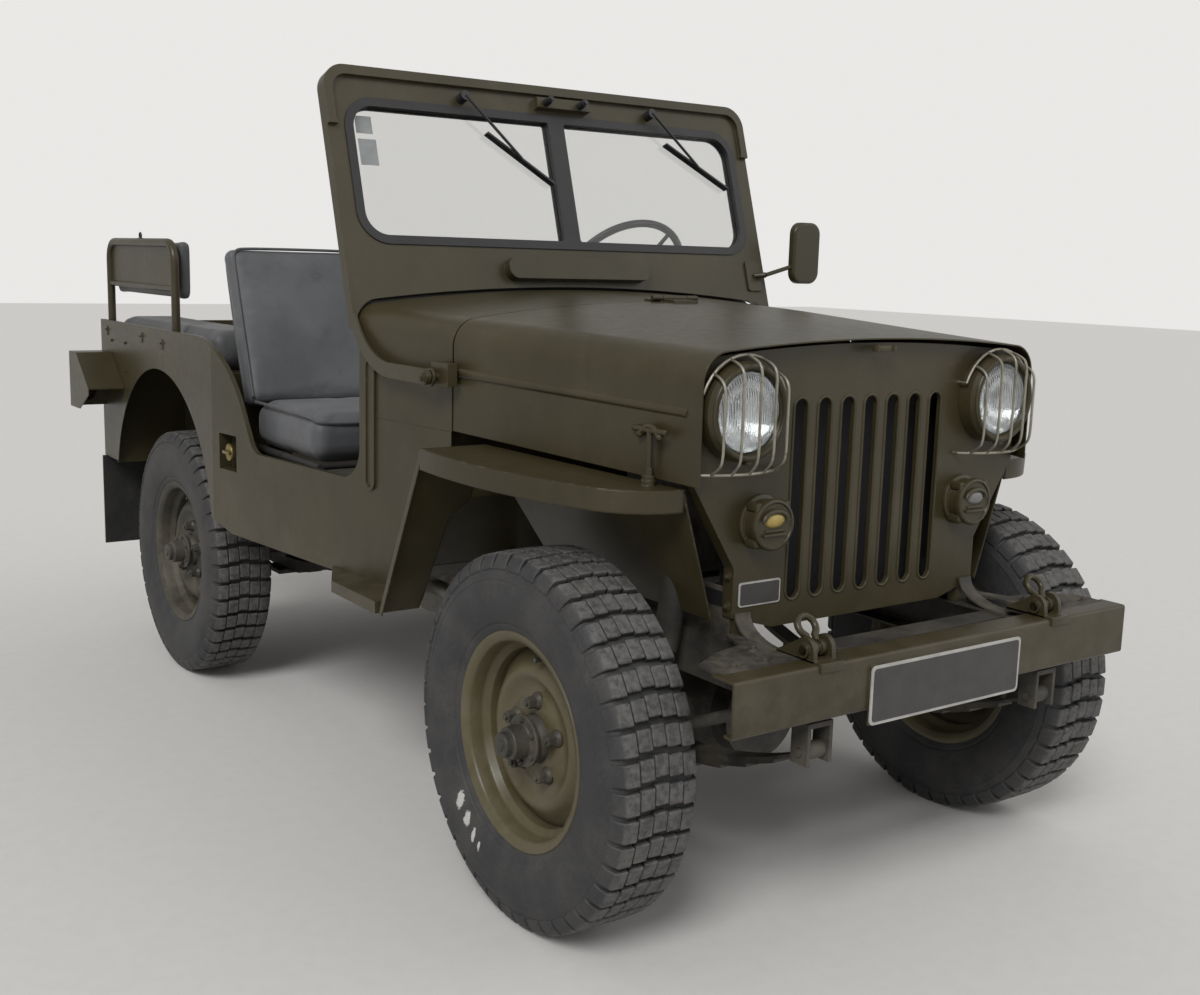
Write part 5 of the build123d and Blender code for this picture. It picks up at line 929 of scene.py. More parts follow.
@dataclass
class FrontEnd:
    """Lamps, plates and catches on the grille and bumper."""

    shop: Workshop
    bowl_r: float = 0.074
    bowl_depth: float = 0.055
    bowl_rim: float = 0.029
    bezel_r: float = 0.0865
    bezel_out: float = 0.0440
    screw_from_lamp: Point = (0, -0.040, -0.094)
    marker_x: float = 0.291
    marker_z: float = 0.832
    marker_face_y: float = GRILLE_Y - 0.0440
    marker_lugs: int = 4
    lug_circle: float = 0.050
    lug_half: float = 0.008
    lens_half: Point = (0.027, 0.008, 0.0155)
    plate_y: float = -1.645
    badge_low: tuple[float, float] = (-0.336, 0.664)
    badge_high: tuple[float, float] = (-0.228, 0.713)
    baffle_y: float = GRILLE_Y + 0.063
    baffle_thick: float = 0.002
    baffle_inner: float = 0.236
    baffle_steps: tuple[Point, ...] = (
        # outer edge, lowest and highest point
        (0.330, 0.690, 0.950), (0.276, 0.950, 1.130))
    # corners of the dark plates that stand in as painted shade between the frame rails and the aprons
    shade_plate_low: Point = (0.342, -1.372, 0.590)
    shade_plate_high: Point = (0.345, -0.850, 0.700)
    slots: int = 7
    slot_pitch: float = 0.0645
    slot_half: float = 0.0195
    slot_low: float = 0.664
    slot_high: float = 1.071
    latch_x: float = 0.507
    latch_y: float = -1.308
    latch_foot_z: float = 0.916
    latch_top_z: float = 1.016
    hood_front_y: float = -1.414
    catch_z: float = 1.160
    catch_half: float = 0.030
    grille_bolt_x: float = 0.350
    grille_bolt_z: tuple[float, float] = (0.665, 0.725)

    def lamp(self, side: Side) -> Vector:
        """The middle of a headlamp, on the grille's face."""
        return side.at(LAMP_X, GRILLE_Y, LAMP_Z)

    def reflectors(self) -> None:
        """Bright bowls and bulb shields behind the headlamp lenses."""
        bm, steps = bmesh.new(), 10
        shares = [step / steps for step in range(steps + 1)]
        bowl = [(self.bowl_rim - self.bowl_depth * (1 - share ** 2), self.bowl_r * share)
                for share in shares]
        for side in Side:
            centre = self.lamp(side)
            add_lathe(bm, bowl, centre, FORWARD, 40)
            add_bar(bm, centre + Vector((0, 0.020, 0)), centre - Vector((0, 0.022, 0)),
                    0.014, 20, 0.011)
        self.shop.piece("headlamp_reflectors", bm, self.shop.finishes.chrome, Slot.MIRROR,
                        sharp=60.0, outward=False)

    def lamp_rings(self) -> None:
        """Rolled bezels with a clamp screw round the headlamps."""
        bm = bmesh.new()
        ring = [(self.bezel_out + along, self.bezel_r + up)
                for up, along in arc(0.0060, 0, 330, 30, 0.0045)]
        for side in Side:
            add_lathe(bm, ring, self.lamp(side), FORWARD, 64, closed=True)
            screw = self.lamp(side) + Vector(self.screw_from_lamp)
            add_block(bm, screw + Vector((-0.007, -0.004, -0.005)),
                      screw + Vector((0.007, 0.012, 0.004)), bevel=0.001)
        self.shop.piece("headlamp_bezels", bm, self.shop.finishes.paint, Slot.PAINT)

    def marker_shells(self) -> None:
        """Round marker lamp housings with four cast lugs."""
        bm, lugs, half = bmesh.new(), self.marker_lugs, self.lug_half
        wall = ((0.0004, 0.0), (0.0004, 0.0545), (0.0080, 0.0545), (0.0100, 0.0520),
                (0.0110, 0.0470), (0.0300, 0.0470), (0.0330, 0.0505), (0.0420, 0.0515),
                (0.0460, 0.0495), (0.0475, 0.0450), (0.0460, 0.0430), (0.0445, 0.0425),
                (0.0440, 0.0))
        for side in Side:
            centre = side.at(self.marker_x, GRILLE_Y, self.marker_z)
            add_lathe(bm, wall, centre, FORWARD, 48)
            for index in range(lugs):
                turn = math.tau * (index + 0.5) / lugs
                spot = centre + Vector((math.cos(turn) * self.lug_circle, -0.0095,
                                        math.sin(turn) * self.lug_circle))
                add_block(bm, spot - Vector((half, 0.030, half)),
                          spot + Vector((half, 0.002, half)), bevel=0.003)
        self.shop.piece("marker_housings", bm, self.shop.finishes.paint, Slot.PAINT,
                        replaces=("marker_lamps",))

    def marker_hoods(self) -> None:
        """Brows over the marker lenses, with two ribs under each."""
        bm, face_y = bmesh.new(), self.marker_face_y
        for side in Side:
            centre = side.at(self.marker_x, 0.0, self.marker_z)
            line = [(centre.x + across, face_y - 0.004, centre.z + 0.009 + up)
                    for across, up in arc(0.030, 0, 180, 15, 0.018)]
            add_tube(bm, line, 0.0052)
            add_block(bm, (centre.x - 0.030, face_y - 0.007, centre.z - 0.022),
                      (centre.x + 0.030, face_y + 0.002, centre.z - 0.016), bevel=0.0015)
            add_block(bm, (centre.x - 0.024, face_y - 0.003, centre.z - 0.014),
                      (centre.x + 0.024, face_y + 0.002, centre.z - 0.008), bevel=0.001)
        self.shop.piece("marker_hoods", bm, self.shop.finishes.paint, Slot.PAINT)

    def marker_lenses(self) -> None:
        """An amber lens on the right and a grey one on the left."""
        finishes = self.shop.finishes
        for side, name, material in ((Side.RIGHT, "marker_lens_amber", finishes.amber),
                                     (Side.LEFT, "marker_lens_grey", finishes.grey_lens)):
            bm = bmesh.new()
            bmesh.ops.create_uvsphere(bm, u_segments=28, v_segments=14, radius=1.0)
            size = Matrix.Diagonal((*self.lens_half, 1.0))
            spot = side.at(self.marker_x, self.marker_face_y + 0.0005, self.marker_z + 0.010)
            bmesh.ops.transform(bm, matrix=Matrix.Translation(spot) @ size, verts=bm.verts)
            self.shop.piece(name, bm, material, Slot.LAMP_GLASS)

    def plates(self) -> None:
        """The blank number plate on the bumper and the blank badge on the grille."""
        finishes = self.shop.finishes
        for name, low, high, y, border, corner in (
                ("number_plate", PLATE_LOW, PLATE_HIGH, self.plate_y, 0.006, 0.010),
                ("blank_badge", self.badge_low, self.badge_high, GRILLE_Y, 0.0035, 0.006)):
            for part, inset, depth, material in (("border", 0.0, 0.0022, finishes.plate_edge),
                                                 ("face", border, 0.0030, finishes.plate)):
                bm = bmesh.new()
                verts = add_block(bm, (low[0] + inset, y - depth, low[1] + inset),
                                  (high[0] - inset, y + 0.0005, high[1] - inset))
                upright = [edge for edge in edges_of(verts)
                           if abs(edge.verts[0].co.y - edge.verts[1].co.y) > 1e-4]
                bmesh.ops.bevel(bm, geom=upright, offset=corner - inset / 2, segments=5,
                                profile=0.5, affect="EDGES", material=-1)
                self.shop.piece(f"{name}_{part}", bm, material, Slot.PAINT, sharp=60.0)

    def baffles(self) -> None:
        """Black plates that close the gaps beside the radiator."""
        bm = bmesh.new()
        for side in Side:
            for outer, low_z, high_z in self.baffle_steps:
                add_block(bm, *side.box((self.baffle_inner, self.baffle_y, low_z),
                                        (outer, self.baffle_y + self.baffle_thick, high_z)))
        self.shop.piece("radiator_baffles", bm, self.shop.finishes.core, Slot.CHASSIS)

    def shade_plates(self) -> None:
        """Dark plates that close the gap between the frame rails and the aprons, painted shade where
        the floor would show.
        """
        bm = bmesh.new()
        for side in Side:
            add_block(bm, *side.box(self.shade_plate_low, self.shade_plate_high))
        self.shop.piece("shade_plates", bm, self.shop.finishes.gusset, Slot.CHASSIS)

    def slot_rims(self) -> None:
        """Rolled edges round the grille's slots."""
        bm, half = bmesh.new(), self.slot_half
        for index in range(self.slots):
            x = (index - self.slots // 2) * self.slot_pitch
            ring = []
            for centre_z, first in ((self.slot_high - half, 0), (self.slot_low + half, 180)):
                ring += [(x + across, GRILLE_Y + 0.0005, centre_z + up)
                         for across, up in arc(half, first, first + 180, 20)]
            add_tube(bm, ring, 0.0034, closed=True, sides=2)
        self.shop.piece("slot_rims", bm, self.shop.finishes.paint, Slot.PAINT, outward=False)

    def latches(self) -> None:
        """Curved cross handles of the hood's side latches, with their feet."""
        bm = bmesh.new()
        for side in Side:
            top = side.at(self.latch_x, self.latch_y, self.latch_top_z)
            bow = [top + Vector((0, step * 0.0075, 0.004 - step ** 2 * 0.0011))
                   for step in range(-4, 5)]
            add_tube(bm, bow, 0.0062, smooth=True)
            for end in (bow[0], bow[-1]):
                bmesh.ops.create_uvsphere(bm, u_segments=12, v_segments=8, radius=0.0075,
                                          matrix=Matrix.Translation(end))
            foot = side.at(self.latch_x, self.latch_y, self.latch_foot_z)
            for low, high, radius, flats in ((-0.004, 0.010, 0.013, 16), (0.008, 0.026, 0.0095, 6)):
                add_bar(bm, foot + Vector((0, 0, low)), foot + Vector((0, 0, high)), radius, flats)
        self.shop.piece("hood_latch_handles", bm, self.shop.finishes.paint, Slot.PAINT)

    def hood_catch(self) -> None:
        """The catch on the hood's front edge."""
        bm, y, z = bmesh.new(), self.hood_front_y, self.catch_z
        add_block(bm, (-self.catch_half, y - 0.003, z), (self.catch_half, y + 0.006, z + 0.012),
                  bevel=0.001)
        for x in (-0.024, 0.024):
            add_bar(bm, (x, y - 0.004, z), (x, y - 0.004, z + 0.013), 0.004, 10)
        self.shop.piece("hood_catch", bm, self.shop.finishes.paint, Slot.PAINT, "hood")

    def grille_bolts(self) -> None:
        """Bolts at the grille's lower corners."""
        bm = bmesh.new()
        for side in Side:
            for z in self.grille_bolt_z:
                add_bolt(bm, side.at(self.grille_bolt_x, GRILLE_Y + 0.016, z), side.at(1, 0, 0),
                         0.007)
        self.shop.piece("grille_bolts", bm, self.shop.finishes.paint, Slot.PAINT)

    def build(self) -> None:
        """Make the front end's pieces."""
        self.reflectors()
        self.lamp_rings()
        self.marker_shells()
        self.marker_hoods()
        self.marker_lenses()
        self.plates()
        self.baffles()
        self.shade_plates()
        self.slot_rims()
        self.latches()
        self.hood_catch()
        self.grille_bolts()


@dataclass
class Bumper:
    """The channel bumper with gussets, shackles and the straps up to the grille."""

    shop: Workshop
    half: float = 0.559
    front_y: float = -1.640
    rear_y: float = -1.580
    low_z: float = 0.510
    high_z: float = 0.616
    wall: float = 0.006
    lip: float = 0.024
    fold: float = 0.006
    ear_x: float = 0.330
    ear_gap: float = 0.036
    ear_thick: float = 0.010
    ear_r: float = 0.024
    ear_tail: float = 0.074
    pin_y: float = -1.598
    pin_z: float = 0.636
    pin_r: float = 0.010
    eye_rise: float = 0.044
    bow_r: float = 0.021
    bow_foot: float = 0.0105
    strap_low_x: float = 0.307
    strap_wide: float = 0.038
    strap_thick: float = 0.005
    strap_rise: float = 0.056
    gusset: tuple[tuple[float, float], ...] = (
        (0.306, -1.592), (0.545, -1.592), (0.545, -1.522), (0.470, -1.480), (0.392, -1.460),
        (0.370, -1.392), (0.352, -1.392), (0.352, -1.518), (0.306, -1.518))
    gusset_bolts: tuple[tuple[float, float], ...] = (
        (0.430, -1.572), (0.505, -1.572), (0.395, -1.500))

    def channel(self) -> None:
        """The pressed channel and the number plate's backing."""
        bm = bmesh.new()
        spots = ((self.rear_y, self.high_z), (self.front_y, self.high_z),
                 (self.front_y, self.low_z), (self.front_y + self.lip, self.low_z))
        verts = [bm.verts.new((-self.half, y, z)) for y, z in spots]
        edges = [bm.edges.new(pair) for pair in zip(verts, verts[1:])]
        grow_edges(bm, edges, (2 * self.half, 0, 0))
        folds = [edge for edge in bm.edges if len(edge.link_faces) == 2]
        bmesh.ops.bevel(bm, geom=folds, offset=self.fold, segments=3, profile=0.5, affect="EDGES",
                        material=-1)
        bmesh.ops.recalc_face_normals(bm, faces=bm.faces)
        web = min(bm.faces, key=lambda face: face.calc_center_median().y)
        inward = self.wall if web.normal.y < 0 else -self.wall
        bmesh.ops.solidify(bm, geom=bm.faces[:], thickness=inward)
        add_block(bm, (PLATE_LOW[0], self.front_y - 0.005, PLATE_LOW[1]),
                  (PLATE_HIGH[0], self.front_y + 0.001, PLATE_HIGH[1]), bevel=0.0012)
        self.shop.piece("bumper_channel", bm, self.shop.finishes.paint, Slot.PAINT,
                        replaces=("front_bumper",))

    def gussets(self) -> None:
        """Dusty plates from the channel back to the frame rails, with bolts."""
        bm, top = bmesh.new(), self.high_z + 0.0005
        for side in Side:
            outline = [side.at(x, y, self.high_z - self.wall) for x, y in self.gusset]
            add_plate(bm, outline, (0, 0, self.wall + 0.0005))
            for x, y in self.gusset_bolts:
                add_bolt(bm, side.at(x, y, top), (0, 0, 1), 0.0075)
        self.shop.piece("bumper_gussets", bm, self.shop.finishes.gusset, Slot.CHASSIS)

    def cheek(self, bm: BMesh, x: float) -> None:
        """One shackle ear, rounded over the pin and sloping back to the flange."""
        tail_y, rounding = self.pin_y + self.ear_tail, self.ear_r
        outline = [(self.pin_y - 0.026, self.high_z), (self.pin_y - rounding, self.pin_z)]
        outline += [(self.pin_y + along, self.pin_z + up)
                    for along, up in arc(rounding, 160, 40, -20)]
        outline += [(tail_y, self.high_z + 0.004), (tail_y, self.high_z)]
        add_plate(bm, [(x, y, z) for y, z in outline], (self.ear_thick, 0, 0))

    def bow(self, bm: BMesh, pin: Vector) -> None:
        """A shackle's round bow, leaning back, with its ends on the pin."""
        lean = Vector((0, 0.60, 0.80))
        eye = pin + lean * self.eye_rise
        ring = [pin - Vector((self.bow_foot, 0, 0))]
        ring += [eye + Vector((across, 0, 0)) + lean * up
                 for up, across in arc(self.bow_r, -150, 150, 20)]
        ring.append(pin + Vector((self.bow_foot, 0, 0)))
        add_tube(bm, ring, 0.0070)

    def shackles(self) -> None:
        """Ears, pins and leaning bows on the bumper's top flange."""
        bm, wide = bmesh.new(), self.ear_gap / 2 + self.ear_thick
        for side in Side:
            pin = side.at(self.ear_x, self.pin_y, self.pin_z)
            for x in (pin.x - wide, pin.x + self.ear_gap / 2):
                self.cheek(bm, x)
            for front, rear, drop, bevel in (
                    (self.pin_y - 0.036, self.pin_y + self.ear_tail, 0.001, 0.001),
                    (self.front_y - 0.004, self.pin_y - 0.034, 0.014, 0.0015)):
                add_block(bm, (pin.x - wide, front, self.high_z - drop),
                          (pin.x + wide, rear, self.high_z + 0.004), bevel=bevel)
            reach = Vector((wide + 0.006, 0, 0))
            add_bar(bm, pin - reach, pin + reach, self.pin_r, 20)
            for way in (-1, 1):
                end = pin + reach * way
                add_bar(bm, end, end - Vector((0.006 * way, 0, 0)), self.pin_r + 0.005, 24)
                add_bar(bm, pin + Vector((0.005 * way, 0, 0)), pin + Vector((0.017 * way, 0, 0)),
                        0.015, 24)
            self.bow(bm, pin)
        self.shop.piece("bumper_shackles", bm, self.shop.finishes.paint, Slot.PAINT)

    def straps(self) -> None:
        """Curved straps from the frame rails up to the grille's lower corners."""
        bm, thick, rise = bmesh.new(), self.strap_thick, self.strap_rise
        top_y, foot_y, base = GRILLE_Y - 0.001, GRILLE_Y - 0.105, self.high_z - 0.019
        outer, inner = [], []
        for short, along in arc(1.0, 0, 90, 10):
            up = 1 - short
            outer.append((foot_y + along * (top_y - foot_y), base + up * rise))
            inner.append((foot_y + along * (top_y - foot_y - thick),
                          base + thick + up * (rise - thick)))
        profile = [(foot_y - 0.030, base), *outer, *reversed(inner), (foot_y - 0.030, base + thick)]
        for side in Side:
            low_x = side.low_x(self.strap_low_x, self.strap_low_x + self.strap_wide)
            add_plate(bm, [(low_x, y, z) for y, z in profile], (self.strap_wide, 0, 0))
        self.shop.piece("grille_straps", bm, self.shop.finishes.gusset, Slot.CHASSIS)

    def build(self) -> None:
        """Make the bumper's pieces."""
        self.channel()
        self.gussets()
        self.shackles()
        self.straps()


@dataclass
class LampGuards:
    """Bent wire guards: hoops over and under each headlamp, joined by bowed bars."""

    shop: Workshop
    top_r: float = 0.107
    top_y: float = GRILLE_Y - 0.024
    low_z: float = 0.936
    reach: float = 0.101
    hoop_wire: float = 0.0033
    bar_wire: float = 0.0029
    bars: tuple[tuple[float, float], ...] = (
        # offset from the lamp's middle, how far the straight run stands out
        (-0.078, 0.060), (-0.040, 0.067), (0.0, 0.070), (0.040, 0.067), (0.078, 0.060))

    def low_y(self, shift: float) -> float:
        """The lower hoop's station at an offset from the lamp's middle."""
        return GRILLE_Y - 0.005 - 0.040 * (1 - (shift / 0.112) ** 2)

    def hoop(self, bm: BMesh, line: list[Vector]) -> None:
        """A wire along a line, with both ends bent back into the grille."""
        ends = [Vector((spot.x, GRILLE_Y + 0.002, spot.z)) for spot in (line[0], line[-1])]
        add_tube(bm, [ends[0], *line, ends[1]], self.hoop_wire, sides=2)

    def build(self) -> None:
        """Make both guards."""
        bm, steps = bmesh.new(), 8
        for side in Side:
            middle = side.at(LAMP_X, 0, LAMP_Z)
            self.hoop(bm, [middle + Vector((across, self.top_y, up))
                           for across, up in arc(self.top_r, 160, 20, -10)])
            shifts = [self.reach * step / steps for step in range(-steps, steps + 1)]
            self.hoop(bm, [Vector((middle.x + shift, self.low_y(shift), self.low_z))
                           for shift in shifts])
            for shift, out in self.bars:
                x, run_y = middle.x + shift, GRILLE_Y - out
                head_z = LAMP_Z + math.sqrt(self.top_r ** 2 - shift ** 2)
                line = ((x, self.low_y(shift), self.low_z), (x, run_y + 0.008, self.low_z + 0.014),
                        (x, run_y, self.low_z + 0.034), (x, run_y, self.low_z + 0.080),
                        (x, run_y, head_z - 0.060), (x, run_y, head_z - 0.024),
                        (x, run_y + 0.014, head_z - 0.007), (x, self.top_y, head_z))
                add_tube(bm, line, self.bar_wire, smooth=True, sides=2)
        self.shop.piece("lamp_guard_wires", bm, self.shop.finishes.guard, Slot.STEEL,
                        replaces=("lamp_guards",), outward=False)


# Body trim


@dataclass
class BodyTrim:
    """Labels, seals, dampers, bench frames, lenses, cap and fixings."""

    shop: Workshop
    screen_foot: Point = (0.0, -0.350, 1.150)
    lean: float = math.radians(17.5)
    tub_half: float = 0.733
    labels_at: tuple[tuple[Point, Point], ...] = (
        # low and high corners, as distances across and up the windscreen
        ((-0.578, 0.492), (-0.534, 0.536)), ((-0.576, 0.412), (-0.528, 0.478)))
    label_depth: float = -0.0185
    seal_half: float = 0.6485
    seal_shoulder: float = 1.2025
    seal_crown: float = 1.2425
    seal_corner: float = 0.058
    seal_y: float = -0.338
    bench_x: float = 0.705
    bench_front: float = 0.807
    bench_rear: float = 1.472
    bench_low: float = 0.978
    bench_rail: float = 1.204
    bench_top: float = 1.341
    bench_bend: float = 0.058
    filler: Point = (-0.713, 0.339, 0.769)
    rear_lens_x: float = 0.793
    rear_lens_y: float = 1.482
    rear_lens_z: tuple[float, float] = (0.896, 0.836)
    rear_lens_r: float = 0.026
    damper_foot: Point = (0.395, -1.208, 0.405)
    damper_head: Point = (0.388, -1.262, 0.742)
    damper_tube: float = 0.190
    damper_cover: float = 0.150
    damper_eye: float = 0.024
    damper_stud: tuple[float, float] = (0.344, 0.392)
    ring_y: float = 1.135
    knobs_x: tuple[float, float] = (-0.036, 0.072)
    knobs_up: float = 0.600
    tub_bolts_y: tuple[float, float] = (1.385, 1.235)
    tub_bolts_z: tuple[float, float] = (1.015, 0.925)
    buckles: tuple[tuple[float, float], ...] = ((1.440, 1.045), (1.060, 1.045), (0.860, 1.035))
    pivot: Point = (0.674, -0.718, 1.066)

    def on_screen(self, x: float, along: float, out: float) -> Vector:
        """A point on the windscreen from its place across, up the frame and forward of it."""
        up = Vector((0, math.sin(self.lean), math.cos(self.lean)))
        front = Vector((0, -math.cos(self.lean), math.sin(self.lean)))
        return Vector(self.screen_foot) + Vector((x, 0, 0)) + up * along + front * out

    def labels(self) -> None:
        """Blank stickers inside the right pane."""
        bm = bmesh.new()
        thick = self.on_screen(0, 0, -0.0004) - self.on_screen(0, 0, 0)
        for low, high in self.labels_at:
            corners = (low, (high[0], low[1]), high, (low[0], high[1]))
            add_plate(bm, [self.on_screen(x, along, self.label_depth) for x, along in corners], thick)
        self.shop.piece("blank_labels", bm, self.shop.finishes.label, Slot.PLASTIC,
                        "windscreen")

    def cowl_seal(self) -> None:
        """A rubber lip on the cowl, behind the windscreen frame's foot."""
        bm, steps = bmesh.new(), 16
        rise = self.seal_crown - self.seal_shoulder
        arch = (self.seal_half ** 2 + rise ** 2) / (2 * rise)
        reach = self.seal_half - self.seal_corner * 0.72
        line = []
        for step in range(2 * steps + 1):
            x = reach * (step / steps - 1)
            line.append((x, self.seal_crown - arch + math.sqrt(arch ** 2 - x ** 2)))
        end = (self.seal_half - 0.020, self.seal_shoulder - self.seal_corner * 0.22)
        line = [(-end[0], end[1]), *line, end]
        verts = [bm.verts.new((x, self.seal_y, z)) for x, z in line]
        edges = [bm.edges.new(pair) for pair in zip(verts, verts[1:])]
        edges = grow_edges(bm, edges, (0, 0.062, 0))
        grow_edges(bm, edges, (0, 0.005, 0.019), 1.008)
        bmesh.ops.solidify(bm, geom=bm.faces[:], thickness=0.0025)
        self.shop.piece("cowl_seal", bm, self.shop.finishes.rubber, Slot.RUBBER)

    def dampers(self) -> None:
        """Front dampers between the frame and the axle."""
        bm = bmesh.new()
        for side in Side:
            foot, head = side.at(*self.damper_foot), side.at(*self.damper_head)
            run, eye = (head - foot).normalized(), Vector((self.damper_eye, 0, 0))
            add_bar(bm, foot, foot + run * self.damper_tube, 0.0225, 24)
            add_bar(bm, foot + run * self.damper_cover, head, 0.0275, 24)
            for end in (foot, head):
                add_bar(bm, end - eye, end + eye, 0.020, 20)
            add_bar(bm, *(side.at(x, head.y, head.z) for x in self.damper_stud), 0.0085, 12)
        self.shop.piece("front_dampers", bm, self.shop.finishes.chassis, Slot.CHASSIS)

    def bench_outline(self) -> list[tuple[float, float]]:
        """The bench back's bent tube from foot to foot, as stations and heights."""
        bend, head = self.bench_bend, self.bench_top - self.bench_bend
        line = [(self.bench_front, self.bench_low)]
        for centre_y, first in ((self.bench_front + bend, 180), (self.bench_rear - bend, 90)):
            line += [(centre_y + along, head + up)
                     for along, up in arc(bend, first, first - 90, -15)]
        return [*line, (self.bench_rear, self.bench_low)]

    def bench_frames(self) -> None:
        """Bent tube frames with a lower rail and a sheet panel behind the bench pads."""
        bm, line = bmesh.new(), self.bench_outline()
        feet = ((self.bench_rear, self.bench_rail), (self.bench_front, self.bench_rail))
        for side in Side:
            x = side.value * self.bench_x
            add_tube(bm, [(x, y, z) for y, z in line], 0.0130)
            add_bar(bm, *((x, y, z) for y, z in reversed(feet)), 0.009, 16)
            sheet_x = side.value * (self.bench_x - 0.001)
            add_plate(bm, [(sheet_x, y, z) for y, z in (*line[1:-1], *feet)], (0.002, 0, 0))
        self.shop.piece("bench_frames", bm, self.shop.finishes.paint, Slot.PAINT,
                        replaces=("bench_backs",))

    def bench_rings(self) -> None:
        """Small strap rings on the bench backs' top rails."""
        bm, steps, ring_r = bmesh.new(), 16, 0.009
        turns = [step * math.tau / steps for step in range(steps)]
        for side in Side:
            centre = side.at(self.bench_x, self.ring_y, self.bench_top + 0.0205)
            ring = [centre + Vector((0, math.cos(turn) * ring_r, math.sin(turn) * ring_r))
                    for turn in turns]
            add_tube(bm, ring, 0.0028, closed=True)
            add_block(bm, centre + Vector((-0.004, -0.020, -0.011)),
                      centre + Vector((0.004, 0.020, -0.007)), bevel=0.001)
        self.shop.piece("bench_rings", bm, self.shop.finishes.chassis, Slot.PAINT, outward=False)

    def motor_knobs(self) -> None:
        """Two stepped knobs on the wiper motor's box."""
        bm, along = bmesh.new(), self.knobs_up
        for x in self.knobs_x:
            for low, high, radius, end_r, flats in ((0.018, 0.052, 0.011, 0.009, 18),
                                                    (0.046, 0.058, 0.006, 0.006, 12)):
                add_bar(bm, self.on_screen(x, along, low), self.on_screen(x, along, high),
                        radius, flats, end_r)
        self.shop.piece("wiper_motor_knobs", bm, self.shop.finishes.black, Slot.PLASTIC,
                        "windscreen")

    def filler_cap(self) -> None:
        """The brass cap in the fuel filler's recess."""
        bm, centre = bmesh.new(), Vector(self.filler)
        cap = ((0.0, 0.0), (0.0, 0.0240), (0.0050, 0.0250), (0.0080, 0.0235), (0.0095, 0.0190),
               (0.0080, 0.0))
        add_lathe(bm, cap, centre, (-1, 0, 0), 32)
        add_block(bm, centre + Vector((-0.0180, -0.0240, -0.0045)),
                  centre + Vector((-0.0090, 0.0240, 0.0045)), bevel=0.002)
        self.shop.piece("filler_cap", bm, self.shop.finishes.brass, Slot.STEEL)

    def rear_lenses(self) -> None:
        """Red and grey lenses on the rear lamp boxes."""
        dome = [(out - 0.001, radius) for out, radius in arc(0.016, 0, 90, 10, self.rear_lens_r)]
        lenses = (("red", self.shop.finishes.red), ("grey", self.shop.finishes.grey_lens))
        for (name, material), z in zip(lenses, self.rear_lens_z):
            bm = bmesh.new()
            for side in Side:
                centre = side.at(self.rear_lens_x, self.rear_lens_y, z)
                add_lathe(bm, dome, centre, (0, 1, 0), 32)
                add_bar(bm, centre - Vector((0, 0.003, 0)), centre + Vector((0, 0.0015, 0)),
                        self.rear_lens_r + 0.0025, 32)
            self.shop.piece(f"rear_lenses_{name}", bm, material, Slot.LAMP_GLASS)

    def fixings(self) -> None:
        """Bolt heads and lashing buckles on the tub, and the windscreen's pivot bolts."""
        bm = bmesh.new()
        for side in Side:
            out = side.at(1, 0, 0)
            for y in self.tub_bolts_y:
                for z in self.tub_bolts_z:
                    add_bolt(bm, side.at(self.tub_half, y, z), out, 0.0050, False)
            for y, z in self.buckles:
                middle, half = side.at(self.tub_half - 0.0005, y, z), Vector((0.0035, 0.012, 0.016))
                add_block(bm, middle - half, middle + half, bevel=0.002)
                pin, reach = middle + Vector((0, 0, 0.004)) + out * 0.005, Vector((0, 0.010, 0))
                add_bar(bm, pin - reach, pin + reach, 0.004, 10)
            add_bolt(bm, side.at(*self.pivot), out, 0.0080)
        self.shop.piece("body_bolts", bm, self.shop.finishes.paint, Slot.PAINT)

    def build(self) -> None:
        """Make the trim."""
        self.labels()
        self.cowl_seal()
        self.dampers()
        self.bench_frames()
        self.bench_rings()
        self.motor_knobs()
        self.filler_cap()
        self.rear_lenses()
        self.fixings()


# Seats


